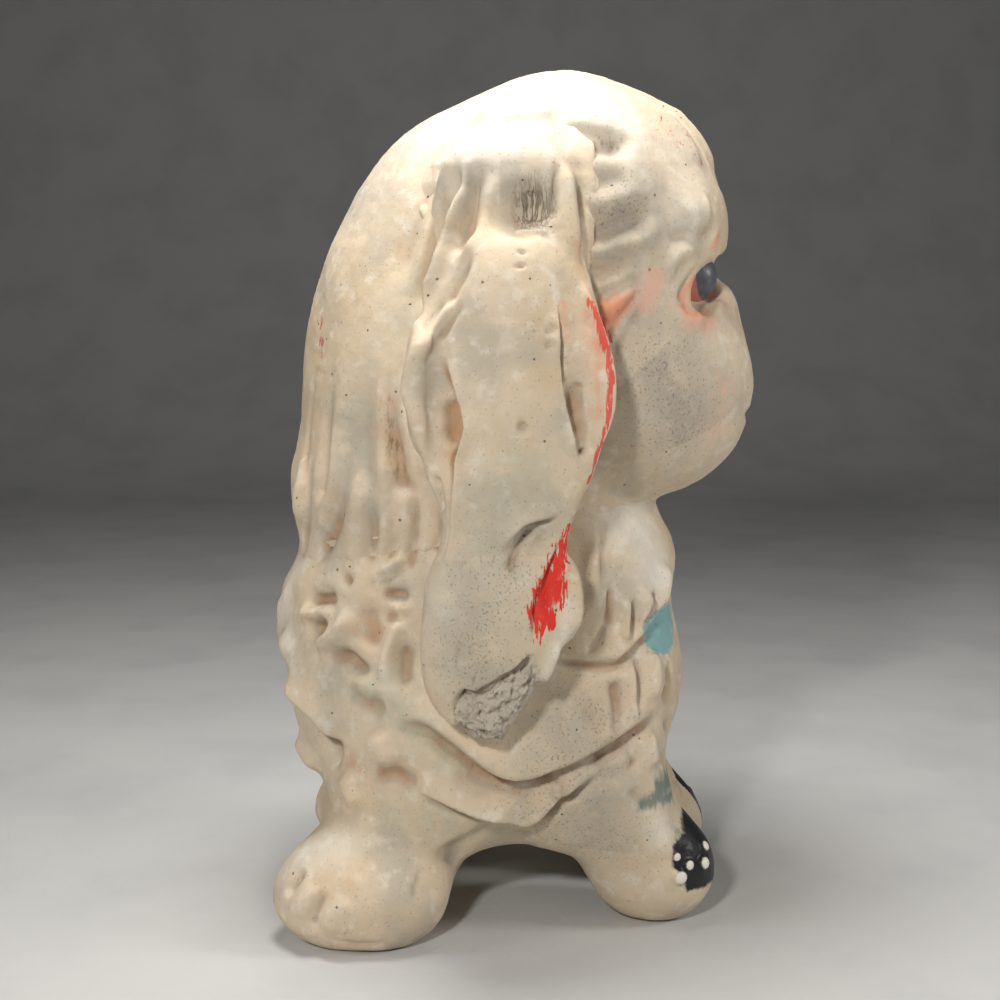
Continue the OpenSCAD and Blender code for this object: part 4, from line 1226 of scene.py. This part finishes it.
EAR_PAINT = {
    "line": [
        (2.3, 0.85, 590, 300, 598, 320, 604, 342, 609, 362, 611, 384),
        (1.5, 0.8, 611, 380, 609, 410, 605, 432, 597, 456, 588, 484),
    ],
    "salmon": [
        (5.0, 0.4, 578, 240, 582, 270, 592, 300), (7.0, 0.42, 564, 300, 566, 340),
        (9.0, 0.5, 590, 310, 596, 340, 600, 370), (6.0, 0.45, 597, 365, 598, 420),
    ],
    # Rust and painted shade in the rear hollow
    "stain_and_shade": [
        (6.0, 0.7, 450, 400, 454, 430, 452, 458),
    ],
    # Painted shade in the recess under the cap, a groove and a pocket of the lower lobe, and greyer plaster
    # lower down
    "grey": [
        (15.0, 0.8, 500, 186, 540, 190, 520, 214), (6.0, 0.7, 469, 175, 466, 215),
        (30.0, 0.6, 470, 560, 470, 640, 490, 700), (10.0, 0.6, 520, 540, 545, 528),
    ],
    "scratched": [
        (9.0, 1.0, 534, 192, 534, 222),
    ],
    "grainy": [
        (26.0, 1.0, 520, 560, 480, 620, 470, 690),
    ],
    "green": [
        (20.0, 0.5, 530, 440, 520, 500, 480, 560), (20.0, 0.35, 480, 600, 470, 680),
    ],
    # Painted light on the ear's cap, and paler plaster on the lower lobe and its white rim
    "pale": [
        (42.0, 0.9, 450, 140, 500, 120, 540, 118, 580, 135), (10.0, 0.5, 450, 590, 440, 620),
        (6.0, 0.8, 568, 600, 562, 640, 540, 680),
    ],
}


def make_ear(material, head, side):
    """One ear, modelled on the right and flipped for the left; the right one is broken at its tip."""
    skin = Skin(ear_clay(head))
    skin.strokes(EAR_LEDGES, ledge=True)
    skin.strokes(EAR_FORMS)
    skin.strokes(ROOT_FORMS)
    skin.soften(EAR_BLUR)
    if side < 0:
        broken = skin.patch(CHIP, 2.5)
        craters = -3.4 * np.abs(noise(skin.points, 4.2, 5)) - 2.4 * np.abs(noise(skin.points, 2.1, 6))
        skin.relief = skin.relief * (1 - broken) + broken * (craters - 1.2)
        skin.stroke(0.9, -2.2, CRACK, ends=CRACK_ENDS)
        skin.mask("bare", broken)
    skin.grain(31 + side)
    skin.press()
    skin.mask("red", 0.86 * skin.patch(RED_FLUTE, 9))
    skin.paint(EAR_PAINT)
    if side < 0:
        skin.paint({"crack": [(1.6, 1.0, *CRACK)]})
    node = "right_ear" if side < 0 else "left_ear"
    build(f"{node}_piece", skin, material, node, flip=side > 0)


EYE_RINGS = 56
EYE_SPOKES = 72
PUPIL_SPAN = 0.22
PUPIL_RISE = 2.0
GAZE_LIFT = 0.035
# The lip round the iris: its height, and its place and breadth as shares of a half turn
LIP = (0.25, 0.28, 0.012)


def make_eye(material, side):
    """An eyeball turned about its gaze, with a raised pupil and a fine lip round the iris."""
    middle = eye_middle(side)
    turn = math.radians(EYE_TURN)
    gaze = np.array([side * math.sin(turn), -math.cos(turn), GAZE_LIFT])
    across = np.cross(gaze, [0, 0, 1])
    across /= np.linalg.norm(across)
    up = np.cross(across, gaze)
    shares = np.linspace(0.0, 1.0, EYE_RINGS + 1)[1:-1] ** 1.25
    rise = PUPIL_RISE * (1.0 - smooth(0.0, PUPIL_SPAN, shares) ** 1.5)
    rise = rise + LIP[0] * np.exp(-(((shares - LIP[1]) / LIP[2]) ** 2))
    turns = np.linspace(0.0, 2 * math.pi, EYE_SPOKES, endpoint=False)
    angle = math.pi * shares[:, None]
    ring = np.cos(turns)[None, :, None] * across + np.sin(turns)[None, :, None] * up
    rings = np.cos(angle)[..., None] * gaze + np.sin(angle)[..., None] * ring
    rings = (EYE_R + rise)[:, None, None] * rings
    ends = [(EYE_R + PUPIL_RISE) * gaze, -EYE_R * gaze]
    points = middle + np.vstack([rings.reshape(-1, 3), ends])
    mesh = bpy.data.meshes.new("eye")
    faces = []
    for i in range(len(shares) - 1):
        for j in range(EYE_SPOKES):
            a, b = i * EYE_SPOKES + j, i * EYE_SPOKES + (j + 1) % EYE_SPOKES
            faces.append((a, a + EYE_SPOKES, b + EYE_SPOKES, b))
    first, last = len(points) - 2, len(points) - 1
    low = (len(shares) - 1) * EYE_SPOKES
    for j in range(EYE_SPOKES):
        k = (j + 1) % EYE_SPOKES
        faces.append((first, j, k))
        faces.append((last, low + k, low + j))
    mesh.from_pydata((points * MM).tolist(), [], faces)
    masks = {"gaze": np.concatenate([np.repeat(shares, EYE_SPOKES), [0.0, 1.0]])}
    node = "right_eye" if side < 0 else "left_eye"
    stand_in(f"{node}_piece", mesh, masks, material, node)


# The floor in mm: front edge, start and radius of the curve at its back, top of the wall and half width
FLOOR_FRONT = -2500.0
FLOOR_BEND = 1300.0
FLOOR_BEND_R = 700.0
FLOOR_WALL = 2500.0
FLOOR_HALF = 4000.0


def make_floor():
    """A pale floor that curves up far behind the figure."""
    p = Paint("pale_floor", FLOOR, 0.75)
    p.layer(FLOOR_CLOUD, p.step(p.noise(90, 4), 0.4, 0.7))
    p.raise_by(0.15, p.noise(2.5, 3))
    material = p.finish(0.25)
    ray = np.array([math.cos(VIEW_TURN), -math.sin(VIEW_TURN), 0.0])
    side = np.array([RIGHT[0], RIGHT[1], 0.0])
    bend = [(FLOOR_FRONT, 0.0), (FLOOR_BEND, 0.0)]
    for a in np.linspace(0.15, math.pi / 2, 10):
        bend.append((FLOOR_BEND + FLOOR_BEND_R * math.sin(a), FLOOR_BEND_R * (1 - math.cos(a))))
    bend.append((FLOOR_BEND + FLOOR_BEND_R, FLOOR_WALL))
    points = [out * ray + w * side + [0, 0, z] for out, z in bend for w in (-FLOOR_HALF, FLOOR_HALF)]
    faces = [(2 * i, 2 * i + 1, 2 * i + 3, 2 * i + 2) for i in range(len(bend) - 1)]
    mesh = bpy.data.meshes.new("floor")
    mesh.from_pydata([tuple(point * MM) for point in points], [], faces)
    mesh.polygons.foreach_set("use_smooth", [True] * len(faces))
    mesh.materials.append(material)
    floor = place("floor", mesh)


def aim_at(thing, spot, target):
    thing.location = Vector(spot * MM)
    thing.rotation_euler = Vector((target - spot) * MM).to_track_quat("-Z", "Y").to_euler()


def make_camera():
    data = bpy.data.cameras.new("camera")
    data.sensor_width = SENSOR
    data.lens = FOCAL / PICTURE_PX * SENSOR
    data.clip_start = 0.02
    data.clip_end = 50.0
    bpy.context.scene.view_settings.view_transform = "Standard"
    camera = place("camera", data)
    aim_at(camera, EYE_POINT, VIEW_TARGET)
    bpy.context.scene.camera = camera


# Studio lights: place to the view's right, upwards and towards the camera, size in mm, watts and colour
LIGHTS = {
    "key": ((-230.0, 380.0, 880.0), 80.0, 4.7, (1.0, 0.97, 0.92)),
    "top": ((-40.0, 520.0, 40.0), 200.0, 3.0, (1.0, 0.985, 0.95)),
    "front": ((850.0, 330.0, 200.0), 240.0, 2.9, (1.0, 0.97, 0.93)),
    "rear": ((-800.0, 360.0, 260.0), 240.0, 1.1, (1.0, 0.97, 0.93)),
    "fill": ((500.0, 300.0, 800.0), 600.0, 0.35, (0.94, 0.97, 1.0)),
}
ROOM_LIGHT = 0.04
ROOM_COLOUR = (0.93, 0.95, 1.0, 1.0)


def make_lights():
    for name, (offset, size, power, colour) in LIGHTS.items():
        data = bpy.data.lights.new(name, "AREA")
        data.size = size * MM
        data.energy = power
        data.color = colour
        light = place(name, data)
        toward = np.array([BACK[0], BACK[1], 0.0])
        spot = VIEW_TARGET + offset[0] * RIGHT + [0.0, 0.0, offset[1]] + offset[2] * toward
        aim_at(light, spot, VIEW_TARGET)
    world = bpy.data.worlds.new("room")
    world.use_nodes = True
    background = world.node_tree.nodes["Background"]
    background.inputs["Color"].default_value = ROOM_COLOUR
    background.inputs["Strength"].default_value = ROOM_LIGHT
    bpy.context.scene.world = world


make_camera()
make_lights()
make_floor()
old_plaster = plaster("old_plaster")
enamel = eye_enamel()
head_form = make_head_and_torso(old_plaster)
for side in (-1, 1):
    make_ear(old_plaster, head_form, side)
    make_eye(enamel, side)
for slot in bpy.data.objects["pour_hole_plug"].material_slots:
    slot.material = luting_plaster()
